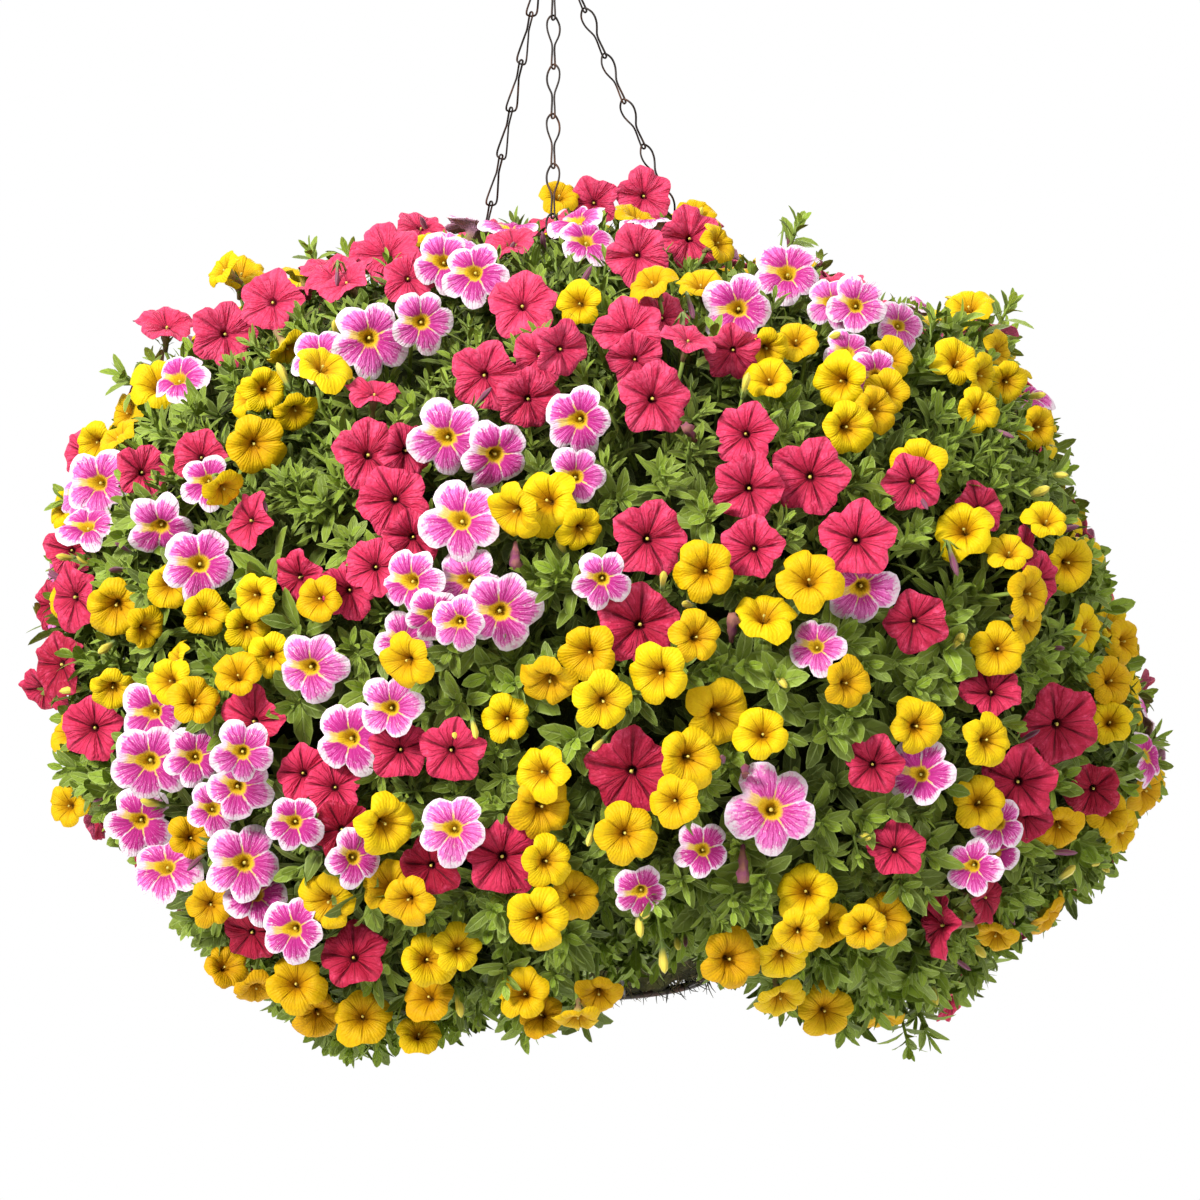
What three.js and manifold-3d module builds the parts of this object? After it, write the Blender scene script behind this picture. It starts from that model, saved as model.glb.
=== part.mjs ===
// A hanging basket of petunias and calibrachoas: a moss-lined wire basket on three chains,
// filled with soil, with flowering sprays that dome over the rim and hang down round it.
// Millimetres, +Z up, origin where the hook hangs. The shapes are worked out in a frame with
// its origin at the centre of the basket's rim, and one group lowers them all below the hook.

import * as THREE from 'three';
import { mergeVertices } from 'three/addons/utils/BufferGeometryUtils.js';
import Module from 'manifold-3d';

const wasm = await Module();
wasm.setup();

// ---- Driving dimensions ----------------------------------------------------------------

const RIM_RADIUS = 175;
const BASKET_DEPTH = 170;
const BASKET_BOWL = 178;
const WIRE = { rim: 2.5, ring: 1.5, rib: 1.5 };
const RIB_COUNT = 8;
const RING_DEPTHS = [72, 132];
const BOWL_BREAKS = [0, 72, 132, BASKET_DEPTH];
const TURNS = 24;
const FINEST = 0.5;

const CHAIN_RISE = 437;
const HOOK_RISE = 72;
const CHAINS = [
  { name: 'chain_right', azimuth: 20, links: 16, eyeShift: 7 },
  { name: 'chain_left', azimuth: 141, links: 16, eyeShift: -7 },
  { name: 'chain_front', azimuth: 260, links: 15, eyeShift: 0 },
];
const LINK = {
  wire: 1.2, wide: 4.8, narrow: 1.6, foot: 2.6, end: 4.6, widest: 0.66, hooked: 0.45, finest: 0.3,
};
// The hook's eye is a ring and its bend most of one, both turned by these angles in degrees.
const HOOK = {
  wire: 2, eye: 12, bend: 14, eyeFrom: 116, eyeTo: 452, bendFrom: -36, bendTo: 216, step: 28, shank: 17,
};
const TOUCH_GAP = 0.4;

const LINER = { inset: 2.1, wall: 13, topDrop: 9, lowest: 166 };
const SOIL = { topDrop: 15, coreGap: 0.5 };

// The outline that the blooms reach: a superellipse turned about the basket's axis.
const DOME = { radius: 336, rise: 292, drop: 212, power: 2.35 };
// The leafy core that they stand out of, inside the same outline.
const CORE = {
  inset: 40, centreHole: 11, seam: 0.25, rootReach: 30, insideRim: 24, underReach: 116, ledge: 16,
  peak: { rise: 17, least: 0.6, more: 0.7, aside: 0.3, seed: 7 }, columns: 3,
  crownRows: [0.34, 0.57, 0.76, 0.89, 0.965], trailingRows: [0.28, 0.62, 0.86],
};
const SECTORS = 12;
const FIRST_SEAM = 20;
const TIER_SPLIT = 26;
const CHAIN_SLEEVE = 9.5;
const STEM = { radius: 3.4, reach: 88, top: 20, depth: 42, holeGap: 0.45, every: 2 };

// ---- Where the blooms are ----------------------------------------------------------------

// The photograph's view: how far off the camera is, how it leans, and the size of a pixel there.
const VIEW = { distance: 2450, elevation: 5, roll: 3.9, aimRise: 61, aimRight: 2 };
const PHOTO = { centre: 600, mmPerPixel: 0.6 };
const SIGHT = { before: 400, past: 100, step: 2, edgeOn: 0.05 };

// Each bloom as read off the photograph: pixels across and down to its middle, its spread
// in pixels, and how far it turns to the right and up (the sine of each angle).
const PETUNIAS = [
  [166, 322, 66, -0.1, 0.78], [224, 334, 68, 0, 0.25], [272, 303, 66, -0.5, 0.1],
  [387, 250, 72, 0, 0.35], [420, 222, 50, 0.3, 0.7], [408, 273, 46, 0.1, -0.1],
  [523, 303, 70, 0.05, 0.1], [485, 377, 68, 0, 0], [538, 357, 58, -0.4, 0],
  [528, 400, 60, 0.3, -0.3], [562, 345, 40, 0.6, 0], [373, 388, 54, 0.1, 0.9],
  [592, 200, 52, -0.3, 0.1], [645, 195, 60, -0.15, 0.2], [637, 254, 64, 0, 0.1],
  [692, 237, 64, 0.2, 0], [630, 330, 66, 0, 0.2], [665, 312, 50, 0.3, 0.4],
  [636, 355, 46, 0, -0.3], [656, 397, 72, -0.05, 0.25], [690, 335, 48, 0, 0.85],
  [733, 350, 50, 0, -0.4], [745, 432, 62, 0, 0], [78, 450, 50, -0.5, 0],
  [140, 468, 48, 0.2, 0], [197, 456, 58, -0.1, 0.3], [247, 520, 58, -0.6, 0],
  [68, 548, 52, -0.3, 0.2], [72, 598, 72, -0.75, 0], [44, 604, 56, -0.8, 0],
  [55, 665, 72, -0.6, 0], [32, 692, 40, -0.6, -0.5], [292, 577, 44, -0.3, -0.5],
  [90, 728, 66, 0, 0.1], [249, 721, 68, -0.5, 0], [371, 452, 72, 0, 0.45],
  [407, 450, 50, 0.3, 0], [393, 500, 70, 0, -0.1], [411, 537, 50, 0, 0],
  [375, 565, 56, 0, 0], [342, 588, 36, 0, 0], [748, 487, 68, 0, 0],
  [810, 477, 74, 0, 0], [651, 538, 74, 0, 0], [751, 547, 62, 0, 0.15],
  [856, 540, 72, 0, 0.2], [640, 625, 78, 0, 0], [917, 622, 62, 0.1, 0],
  [912, 482, 58, 0, -0.2], [985, 505, 46, 0.3, 0.2], [1035, 552, 44, 0.8, 0],
  [1047, 578, 36, 0.6, 0], [992, 688, 60, 0, 0.4], [1062, 725, 80, 0, 0],
  [303, 772, 56, 0, 0], [332, 787, 56, 0, 0], [340, 830, 50, 0, 0],
  [400, 748, 60, 0, 0], [452, 752, 62, 0, 0], [504, 858, 74, 0, 0],
  [431, 867, 60, -0.3, -0.2], [250, 938, 50, -0.2, -0.6], [353, 955, 66, 0, 0.35],
  [630, 773, 82, 0, 0], [874, 765, 56, -0.2, 0], [1020, 783, 72, -0.1, 0.1],
  [1093, 792, 60, 0.4, -0.1], [1032, 815, 50, 0.2, -0.2], [899, 850, 50, 0, 0],
  [936, 925, 60, 0.2, -0.1], [988, 908, 56, 0.75, 0], [957, 1003, 54, 0.4, -0.3],
];
const STARS = [
  [444, 262, 64, 0, 0.1], [474, 274, 66, 0, 0.05], [370, 340, 76, 0, 0.1],
  [423, 322, 64, 0, 0], [318, 355, 60, 0, 0.3], [577, 420, 68, 0.05, 0],
  [587, 238, 60, -0.05, 0.65], [787, 272, 72, 0.05, 0.2], [738, 308, 72, -0.15, 0],
  [832, 300, 56, -0.4, 0.1], [855, 307, 58, 0.1, 0], [852, 347, 44, 0.3, 0.2],
  [880, 370, 44, 0.4, 0], [903, 322, 50, 0.5, 0.1], [97, 483, 72, -0.05, 0.05],
  [208, 482, 56, 0, 0], [88, 524, 62, -0.1, 0.7], [160, 528, 66, -0.2, -0.4],
  [198, 563, 76, -0.05, 0], [152, 712, 68, 0, 0], [448, 438, 72, 0, 0],
  [496, 456, 70, 0.2, -0.35], [462, 520, 76, 0, 0.1], [412, 580, 64, -0.2, 0],
  [467, 583, 64, 0, 0.1], [432, 615, 46, 0, -0.2], [458, 622, 44, 0, -0.3],
  [503, 610, 76, 0, 0], [403, 640, 44, 0, 0.2], [578, 475, 56, 0.2, -0.1],
  [602, 580, 46, 0.3, 0], [312, 667, 70, 0, 0], [393, 706, 60, 0.1, 0],
  [350, 737, 72, -0.1, 0], [861, 590, 72, 0, 0], [817, 645, 56, 0, 0.1],
  [150, 763, 80, 0, 0], [195, 757, 60, 0.1, -0.1], [248, 750, 60, 0, -0.1],
  [242, 787, 66, 0, -0.3], [215, 808, 56, 0.1, 0], [139, 823, 68, 0, 0],
  [165, 867, 72, 0, 0.4], [298, 820, 56, 0, 0], [245, 862, 76, 0, 0.3],
  [256, 892, 64, 0, 0.4], [293, 928, 66, 0, 0.1], [358, 855, 58, 0.4, 0],
  [453, 827, 68, 0, 0], [773, 808, 86, 0, 0], [640, 895, 46, 0, -0.3],
  [704, 852, 44, 0.3, 0], [922, 773, 64, 0, 0.1], [1000, 825, 50, 0.1, 0],
  [997, 853, 50, 0.2, -0.1], [973, 868, 48, -0.2, -0.2],
];
const YELLOWS = [
  [157, 381, 61, 0.05, 0.3], [240, 267, 58, 0.2, 0.75], [222, 266, 40, -0.5, 0.6],
  [265, 388, 44, 0, -0.2], [118, 407, 34, -0.7, 0], [232, 388, 26, -0.9, 0],
  [289, 350, 40, 0.3, -0.8], [292, 410, 34, 0.2, -0.8], [330, 367, 60, 0, 0.65],
  [578, 303, 46, -0.2, 0.2], [560, 190, 40, -0.2, 0.5], [648, 284, 50, -0.2, 0.7],
  [700, 280, 48, 0.2, 0.6], [697, 207, 36, 0.3, 0.5], [722, 243, 46, 0.85, 0],
  [798, 337, 42, 0.1, 0.3], [768, 350, 42, -0.2, -0.4], [768, 375, 48, 0, 0.2],
  [838, 380, 56, -0.1, 0.1], [850, 428, 54, 0, 0], [878, 410, 50, 0.3, 0.1],
  [897, 350, 34, 0.3, 0], [890, 387, 34, 0.2, -0.3], [968, 304, 56, 0.05, 0.75],
  [958, 358, 54, 0.2, 0.2], [984, 375, 44, 0.6, 0], [981, 408, 46, 0.1, 0],
  [1008, 343, 30, 0.7, 0], [1010, 380, 40, 0.5, 0], [1045, 424, 38, 0.6, 0.1],
  [98, 446, 50, -0.2, 0.1], [257, 446, 60, 0, -0.1], [225, 488, 32, 0.5, -0.6],
  [57, 598, 24, -0.5, 0], [115, 610, 62, 0, 0], [147, 628, 44, 0.4, -0.2],
  [167, 588, 46, -0.1, -0.2], [205, 613, 44, 0.1, -0.4], [252, 597, 40, -0.1, 0.2],
  [243, 628, 34, 0.1, 0], [165, 660, 30, -0.9, 0], [270, 657, 46, -0.2, -0.1],
  [240, 670, 48, 0, 0.2], [170, 680, 46, -0.2, 0], [200, 697, 50, 0, 0],
  [112, 692, 48, -0.3, -0.4], [48, 503, 26, -0.8, 0], [545, 502, 62, 0, 0],
  [512, 515, 54, -0.4, -0.1], [582, 530, 46, 0.3, -0.3], [407, 661, 52, -0.1, 0],
  [318, 600, 46, -0.3, 0.2], [587, 653, 54, -0.2, 0.2], [548, 684, 56, 0, -0.6],
  [603, 700, 56, 0.1, 0], [505, 718, 40, 0, 0], [704, 570, 58, -0.1, -0.1],
  [808, 577, 62, 0, 0.15], [765, 612, 60, 0.1, 0.6], [697, 635, 50, 0, 0.1],
  [656, 673, 58, 0, 0], [722, 713, 66, 0, 0], [760, 731, 52, 0.2, 0],
  [848, 682, 50, 0.4, -0.2], [918, 463, 54, 0, -0.1], [963, 529, 60, 0, 0.25],
  [1072, 566, 58, 0, 0.1], [1010, 548, 36, 0, 0.5], [1027, 593, 56, 0.5, 0.2],
  [1030, 623, 44, 0.6, -0.1], [1048, 515, 36, 0.3, 0.7], [1090, 630, 50, 0.75, 0],
  [1128, 641, 46, 0.7, 0.2], [998, 650, 54, 0, 0], [1113, 679, 52, 0.1, 0],
  [1113, 720, 40, 0.1, 0], [918, 725, 54, 0, 0], [988, 741, 54, 0.2, 0],
  [61, 806, 38, -0.5, -0.2], [186, 838, 34, 0, 0], [212, 903, 44, -0.2, -0.2],
  [325, 902, 60, 0, 0], [391, 826, 60, 0.35, 0], [386, 885, 54, 0, 0],
  [408, 900, 50, 0.1, -0.1], [227, 966, 46, 0.1, 0.3], [296, 983, 58, 0, 0.1],
  [256, 995, 32, -0.2, -0.7], [362, 1018, 58, 0, 0.1], [318, 1018, 50, -0.1, 0],
  [420, 1033, 46, 0.2, 0.3], [543, 808, 62, 0, 0], [540, 772, 54, 0, 0.4],
  [549, 860, 50, 0.1, 0], [577, 895, 50, 0.4, 0], [537, 917, 60, 0, -0.35],
  [459, 947, 48, 0, 0], [429, 960, 54, -0.1, 0.1], [427, 997, 52, 0, 0.2],
  [522, 992, 52, -0.1, -0.1], [540, 1015, 46, 0.1, 0.2], [577, 1025, 32, 0, -0.8],
  [598, 998, 44, 0.1, -0.3], [690, 757, 60, 0, 0.1], [674, 800, 50, 0, 0],
  [626, 832, 58, 0, -0.3], [733, 959, 60, 0, -0.3], [783, 960, 52, 0.1, -0.3],
  [782, 1003, 50, 0, -0.5], [826, 1011, 56, 0, -0.1], [804, 893, 58, 0.1, 0],
  [828, 925, 42, 0.1, 0], [798, 935, 34, -0.3, -0.3], [888, 917, 54, 0.1, 0],
  [862, 925, 44, -0.2, -0.2], [884, 1025, 44, 0.2, -0.6], [981, 801, 54, -0.2, -0.1],
  [1060, 830, 52, 0.1, -0.3], [1112, 812, 50, 0.7, -0.2], [1151, 793, 54, 0.5, -0.4],
  [1053, 918, 52, 0.4, -0.3], [995, 941, 42, 0, -0.4],
];
// Leafy shoots that stand past the blooms, read the same way.
const SHOOTS = [
  [62, 768, 70, -0.7, 0.1], [188, 922, 64, -0.6, -0.3], [60, 500, 56, -0.8, 0.1],
  [118, 372, 56, -0.7, 0.5], [350, 1052, 56, -0.1, -0.8], [505, 985, 60, 0, -0.6],
  [800, 220, 54, 0.3, 0.8], [1012, 300, 50, 0.4, 0.8], [1066, 470, 56, 0.8, 0.3],
  [1160, 738, 60, 0.8, 0.3], [930, 1045, 76, 0.2, -0.7], [985, 975, 66, 0.6, -0.4],
  [1100, 868, 50, 0.6, -0.3], [300, 232, 56, -0.3, 0.8], [845, 1035, 56, 0, -0.7],
];

// Each kind: its smallest spread in pixels, how deep the notches between its petals are, as a
// share of its radius, and how deep its throat is.
const KINDS = {
  petunia: { places: PETUNIAS, least: 56, most: 74, notch: 0.88, throat: 0.34, rim: 10 },
  star: { places: STARS, least: 54, most: 72, notch: 0.6, throat: 0.22, rim: 10 },
  yellow: { places: YELLOWS, least: 46, most: 60, notch: 1, throat: 0.3, rim: 5 },
};
const WHORL = {
  notch: 0.34, throat: 0.12, rim: 10, least: 44, most: 60, count: 40, sunk: 14, apart: 0.86, seed: 20,
};
// A bloom seen smaller than its kind's least is sunk behind its neighbours by a share of the rest.
const SUNK_SHARE = 0.6;
// What stands in for a petunia's lobes where it is behind others or out of the photograph.
const PLAIN = { rim: 5, notch: 1 };
const PLAIN_BELOW = 67;
const TUBE = { neck: 2.4, root: 2.1, rooted: 9, neckDepth: 0.5 };
const ROOT = { lean: 0.55, step: 3, most: 60, margin: 7 };
const TIP_CURL = 0.07;
const LOBES = 5;
// The seeded draw where the photograph doesn't reach, with slopes in degrees up the dome. What
// faces the camera by more than the seen share was read off the photograph instead.
const FILL = {
  seed: 11, tries: 3600, apart: 66, lean: 0.9, lowest: -50, span: 130, petunias: 0.3, stars: 0.52,
  seen: 0.1,
};
const LIFT = { step: 6, most: 5, slab: 5 };
const MATE_SHARE = 0.42;
const NEARBY = 30;
const SWELL = 1.12;

// ---- Small helpers -----------------------------------------------------------------------

const radians = THREE.MathUtils.degToRad;
const vec = (x, y, z) => new THREE.Vector3(x, y, z);

function seededRandom(seed) {
  let state = seed;
  return () => {
    state = (state * 1664525 + 1013904223) % 4294967296;
    return state / 4294967296;
  };
}

// A closed solid from a list of points and the triangles between them. If the triangles all
// point inwards they are turned round.
function solidFrom(points, faces) {
  const vertProperties = new Float32Array(points.flatMap((p) => [p.x, p.y, p.z]));
  const made = (triangles) => new wasm.Manifold(new wasm.Mesh({
    numProp: 3, vertProperties, triVerts: new Uint32Array(triangles.flat()),
  }));
  const solid = made(faces);
  return solid.volume() > 0 ? solid : made(faces.map(([a, b, c]) => [a, c, b]));
}

function solidFromGeometry(geometry) {
  const bare = geometry.clone();
  bare.deleteAttribute('normal');
  bare.deleteAttribute('uv');
  const merged = mergeVertices(bare, 1e-4);
  return new wasm.Manifold(new wasm.Mesh({
    numProp: 3,
    vertProperties: new Float32Array(merged.attributes.position.array),
    triVerts: new Uint32Array(merged.index.array),
  }));
}

function geometryFrom(solid) {
  const mesh = solid.getMesh();
  const geometry = new THREE.BufferGeometry();
  geometry.setAttribute('position', new THREE.BufferAttribute(mesh.vertProperties.slice(), 3));
  geometry.setIndex(new THREE.BufferAttribute(mesh.triVerts.slice(), 1));
  const flat = geometry.toNonIndexed();
  flat.computeVertexNormals();
  return flat;
}

// A wire with a few flat sides along points that lie in one plane.
function wire(points, planeNormal, radius, sides, closed) {
  const count = points.length;
  const vertices = [];
  points.forEach((point, i) => {
    const before = points[closed ? (i + count - 1) % count : Math.max(i - 1, 0)];
    const after = points[closed ? (i + 1) % count : Math.min(i + 1, count - 1)];
    const side = planeNormal.clone().cross(after.clone().sub(before)).normalize();
    for (let k = 0; k < sides; k += 1) {
      const angle = (2 * Math.PI * (k + 0.5)) / sides;
      vertices.push(point.clone()
        .addScaledVector(planeNormal, radius * Math.cos(angle))
        .addScaledVector(side, radius * Math.sin(angle)));
    }
  });
  const faces = [];
  const spans = closed ? count : count - 1;
  for (let i = 0; i < spans; i += 1) {
    for (let k = 0; k < sides; k += 1) {
      const next = (k + 1) % sides;
      const here = i * sides;
      const there = ((i + 1) % count) * sides;
      faces.push([here + k, here + next, there + next], [here + k, there + next, there + k]);
    }
  }
  if (!closed) {
    const last = (count - 1) * sides;
    for (let k = 1; k < sides - 1; k += 1) {
      faces.push([0, k + 1, k], [last, last + k, last + k + 1]);
    }
  }
  return solidFrom(vertices, faces);
}

function around(radius, azimuth, height) {
  return vec(radius * Math.cos(radians(azimuth)), radius * Math.sin(radians(azimuth)), height);
}

// Solids fused into one, without the slivers that crossings leave.
function joined(solids, finest = FINEST) {
  return wasm.Manifold.union(solids).asOriginal().simplify(finest);
}

// ---- The wire basket, its liner and the soil -----------------------------------------------

const UP = vec(0, 0, 1);

// The bowl's radius at a depth below the rim, along straight runs between its breaks.
function bowlRadius(depth) {
  const exact = (d) => RIM_RADIUS * Math.sqrt(1 - (d / BASKET_BOWL) ** 2);
  const i = BOWL_BREAKS.findIndex((end) => end >= depth);
  if (i <= 0) return exact(depth);
  const [a, b] = [BOWL_BREAKS[i - 1], BOWL_BREAKS[i]];
  return THREE.MathUtils.mapLinear(depth, a, b, exact(a), exact(b));
}

function wireRing(radius, depth, thickness) {
  const points = [];
  for (let i = 0; i < TURNS; i += 1) points.push(around(radius, (360 * i) / TURNS, -depth));
  return wire(points, UP, thickness, thickness > WIRE.ring ? 4 : 3, true);
}

function basketRib(azimuth) {
  const points = BOWL_BREAKS.map((depth) => around(bowlRadius(depth), azimuth, -depth));
  return wire(points, around(1, azimuth + 90, 0), WIRE.rib, 4, false);
}

function wireBasket() {
  const pieces = [wireRing(RIM_RADIUS, 0, WIRE.rim)];
  RING_DEPTHS.forEach((depth) => pieces.push(wireRing(bowlRadius(depth), depth, WIRE.ring)));
  pieces.push(wireRing(bowlRadius(BASKET_DEPTH), BASKET_DEPTH, WIRE.rim));
  for (let i = 0; i < RIB_COUNT; i += 1) pieces.push(basketRib((360 * i) / RIB_COUNT));
  return joined(pieces);
}

// A point of the bowl's side, moved inwards square to it.
function bowlPoint(depth, inset) {
  const slope = new THREE.Vector2(bowlRadius(depth) / RIM_RADIUS ** 2, -depth / BASKET_BOWL ** 2);
  return new THREE.Vector2(bowlRadius(depth), -depth).addScaledVector(slope.normalize(), -inset);
}

// The bowl's side from one depth to another, moved in from the wires.
function bowlSide(inset, topDepth, bottomDepth) {
  const between = BOWL_BREAKS.filter((depth) => depth > topDepth && depth < bottomDepth);
  return [topDepth, ...between, bottomDepth].map((depth) => bowlPoint(depth, inset));
}

// A profile turned about the basket's axis, with its flats in line with the ribs.
function turned(profile) {
  const geometry = new THREE.LatheGeometry(profile, TURNS);
  geometry.rotateX(Math.PI / 2);
  return solidFromGeometry(geometry);
}

function mossLiner() {
  const outer = bowlSide(LINER.inset, LINER.topDrop, LINER.lowest);
  const inner = bowlSide(LINER.inset + LINER.wall, LINER.topDrop, LINER.lowest);
  const onAxis = (point) => new THREE.Vector2(0, point.y);
  return turned([onAxis(outer.at(-1)), ...outer.reverse(), ...inner, onAxis(inner.at(-1))]);
}

// Where a crown spray's plant stands in the soil: one plant to every second spray.
function stemPlace(sector) {
  const azimuth = FIRST_SEAM + ((sector + 0.5) * 360) / SECTORS;
  return around(STEM.reach, azimuth, 0);
}

function hasStem(sector) {
  return sector % STEM.every === 0;
}

// A plant's stem from inside the leafy core down into the soil, or the hole that it stands in.
function stem(place, radius, depth) {
  const top = place.clone().setZ(STEM.top);
  const foot = place.clone().setZ(-SOIL.topDrop - depth);
  return wire([foot, top], vec(0, 1, 0), radius, 5, false);
}

function pottingSoil() {
  const side = bowlSide(LINER.inset + LINER.wall + TOUCH_GAP, SOIL.topDrop, LINER.lowest);
  side[0].y = -SOIL.topDrop;
  const onAxis = (point) => new THREE.Vector2(0, point.y);
  const profile = [onAxis(side.at(-1)), ...side.toReversed(), onAxis(side[0])];
  const holes = [...Array(SECTORS).keys()].filter(hasStem)
    .map((sector) => stem(stemPlace(sector), STEM.radius + STEM.holeGap, STEM.depth + 1));
  return turned(profile).subtract(joined(holes));
}

// ---- The hook and the chains -------------------------------------------------------------

function hangingHook() {
  const eyeCentre = CHAIN_RISE + HOOK.eye;
  const bendCentre = CHAIN_RISE + HOOK_RISE - HOOK.bend - HOOK.wire;
  const points = [];
  for (let angle = HOOK.eyeFrom; angle <= HOOK.eyeTo; angle += HOOK.step) {
    const turn = radians(angle);
    points.push(vec(HOOK.eye * Math.cos(turn), 0, eyeCentre + HOOK.eye * Math.sin(turn)));
  }
  points.push(vec(0, 0, bendCentre - HOOK.shank));
  for (let angle = HOOK.bendFrom; angle <= HOOK.bendTo; angle += HOOK.step) {
    const turn = radians(angle);
    points.push(vec(HOOK.bend * Math.cos(turn), 0, bendCentre + HOOK.bend * Math.sin(turn)));
  }
  return wire(points, vec(0, 1, 0), HOOK.wire, 4, false);
}

// One link as a closed loop, wide near its foot and pinched at its head.
function chainLink(head, foot, lateral, reach) {
  const along = foot.clone().sub(head);
  const pitch = along.length();
  along.normalize();
  const right = [
    [-reach.head, reach.headHalf], [pitch * LINK.widest, LINK.wide],
    [pitch + reach.foot, reach.footHalf],
  ];
  const left = right.map(([down, out]) => [down, -out]).reverse();
  const points = [...right, ...left].map(([down, out]) => head.clone()
    .addScaledVector(along, down).addScaledVector(lateral, out));
  return wire(points, along.clone().cross(lateral).normalize(), LINK.wire, 3, true);
}

function chainEnds(chain) {
  const across = Math.sqrt(HOOK.eye ** 2 - chain.eyeShift ** 2);
  const top = vec(chain.eyeShift, 0, CHAIN_RISE + HOOK.eye - across);
  return { top, foot: around(RIM_RADIUS, chain.azimuth, 0) };
}

function hangingChain(chain) {
  const { top, foot } = chainEnds(chain);
  const along = foot.clone().sub(top).normalize();
  const tangent = around(1, chain.azimuth + 90, 0);
  const inMeridian = along.clone().cross(tangent).normalize();
  const sideways = inMeridian.clone().cross(along).normalize();
  const hooked = LINK.wire * LINK.hooked;
  const links = [];
  for (let i = 0; i < chain.links; i += 1) {
    const fromFoot = chain.links - 1 - i;
    const reach = {
      head: i === 0 ? HOOK.wire + LINK.wire + TOUCH_GAP : hooked,
      headHalf: i === 0 ? LINK.end : LINK.narrow,
      foot: fromFoot === 0 ? WIRE.rim + LINK.wire + TOUCH_GAP : hooked,
      footHalf: fromFoot === 0 ? LINK.end : LINK.foot,
    };
    const a = top.clone().lerp(foot, i / chain.links);
    const b = top.clone().lerp(foot, (i + 1) / chain.links);
    links.push(chainLink(a, b, fromFoot % 2 ? sideways : inMeridian, reach));
  }
  return joined(links, LINK.finest);
}

// The room that a chain needs through the leaves.
function chainSleeve(chain) {
  const { top, foot } = chainEnds(chain);
  const along = foot.clone().sub(top).normalize();
  const tangent = around(1, chain.azimuth + 90, 0);
  const end = foot.clone().addScaledVector(along, CHAIN_SLEEVE);
  return wire([end, top], tangent, CHAIN_SLEEVE, 6, false);
}

// ---- The dome outline and the photograph's view --------------------------------------------

// Under 1 inside the outline that is moved in by an inset, and over 1 outside it.
function domeValue(point, inset) {
  const across = Math.hypot(point.x, point.y) / (DOME.radius - inset);
  const height = point.z > 0 ? DOME.rise - inset : DOME.drop - inset;
  return across ** DOME.power + (Math.abs(point.z) / height) ** DOME.power;
}

function outwardAt(point) {
  const across = Math.hypot(point.x, point.y);
  const height = point.z > 0 ? DOME.rise : DOME.drop;
  const level = (across / DOME.radius) ** (DOME.power - 1) / DOME.radius;
  const rise = (Math.abs(point.z) / height) ** (DOME.power - 1) / height;
  return vec((level * point.x) / across, (level * point.y) / across, Math.sign(point.z) * rise)
    .normalize();
}

function viewAxes() {
  const tilt = radians(VIEW.elevation);
  const roll = radians(VIEW.roll);
  const toCamera = vec(0, -Math.cos(tilt), Math.sin(tilt));
  const level = vec(1, 0, 0);
  const upright = toCamera.clone().cross(level);
  const right = level.clone().multiplyScalar(Math.cos(roll)).addScaledVector(upright, -Math.sin(roll));
  const up = level.clone().multiplyScalar(Math.sin(roll)).addScaledVector(upright, Math.cos(roll));
  return { toCamera, right, up };
}

const AXES = viewAxes();
const AIM = vec(VIEW.aimRight, 0, VIEW.aimRise);

// Where the line of sight through a pixel first meets the dome, or passes closest to it.
function domePoint(across, down) {
  const camera = AIM.clone().addScaledVector(AXES.toCamera, VIEW.distance);
  const sight = AIM.clone()
    .addScaledVector(AXES.right, (across - PHOTO.centre) * PHOTO.mmPerPixel)
    .addScaledVector(AXES.up, (PHOTO.centre - down) * PHOTO.mmPerPixel)
    .sub(camera).normalize();
  let closest = null;
  let least = Infinity;
  for (let run = VIEW.distance - SIGHT.before; run < VIEW.distance + SIGHT.past; run += SIGHT.step) {
    const point = camera.clone().addScaledVector(sight, run);
    const value = domeValue(point, 0);
    if (value < least) {
      least = value;
      closest = point;
    }
    if (value < 1) break;
  }
  return closest;
}

function facingOf(turn, lift) {
  const forward = Math.sqrt(Math.max(SIGHT.edgeOn, 1 - turn * turn - lift * lift));
  return vec(0, 0, 0).addScaledVector(AXES.right, turn).addScaledVector(AXES.up, lift)
    .addScaledVector(AXES.toCamera, forward).normalize();
}

// ---- Placing the blooms and leaf whorls ------------------------------------------------------

function bloomAt(kindName, [across, down, spread, turn, lift]) {
  const kind = KINDS[kindName];
  const centre = domePoint(across, down);
  const size = Math.max(spread, kind.least);
  const hidden = spread < PLAIN_BELOW && kindName === 'petunia' ? PLAIN : {};
  const sunk = (size - spread) * PHOTO.mmPerPixel * SUNK_SHARE;
  centre.addScaledVector(outwardAt(centre), -sunk);
  return {
    ...kind, ...hidden, kind: kindName, centre, facing: facingOf(turn, lift),
    radius: (size * PHOTO.mmPerPixel) / 2,
  };
}

// The same shoot on the far side: turned half way round the basket's axis.
function farSide(shoot) {
  const halfTurn = (v) => vec(-v.x, -v.y, v.z);
  return { ...shoot, centre: halfTurn(shoot.centre), facing: halfTurn(shoot.facing) };
}

// A seeded place on the dome, sunk below its outline.
function drawnPlace(random, sunk) {
  const azimuth = 360 * random();
  const slope = radians(FILL.lowest + FILL.span * random());
  const across = (DOME.radius - sunk) * Math.cos(slope) ** (2 / DOME.power);
  const height = (slope > 0 ? DOME.rise : DOME.drop) - sunk;
  const rise = Math.sign(slope) * height * Math.abs(Math.sin(slope)) ** (2 / DOME.power);
  return around(across, azimuth, rise);
}

function crowds(a, b, share) {
  return a.centre.distanceTo(b.centre) < share * (a.radius + b.radius);
}

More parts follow.
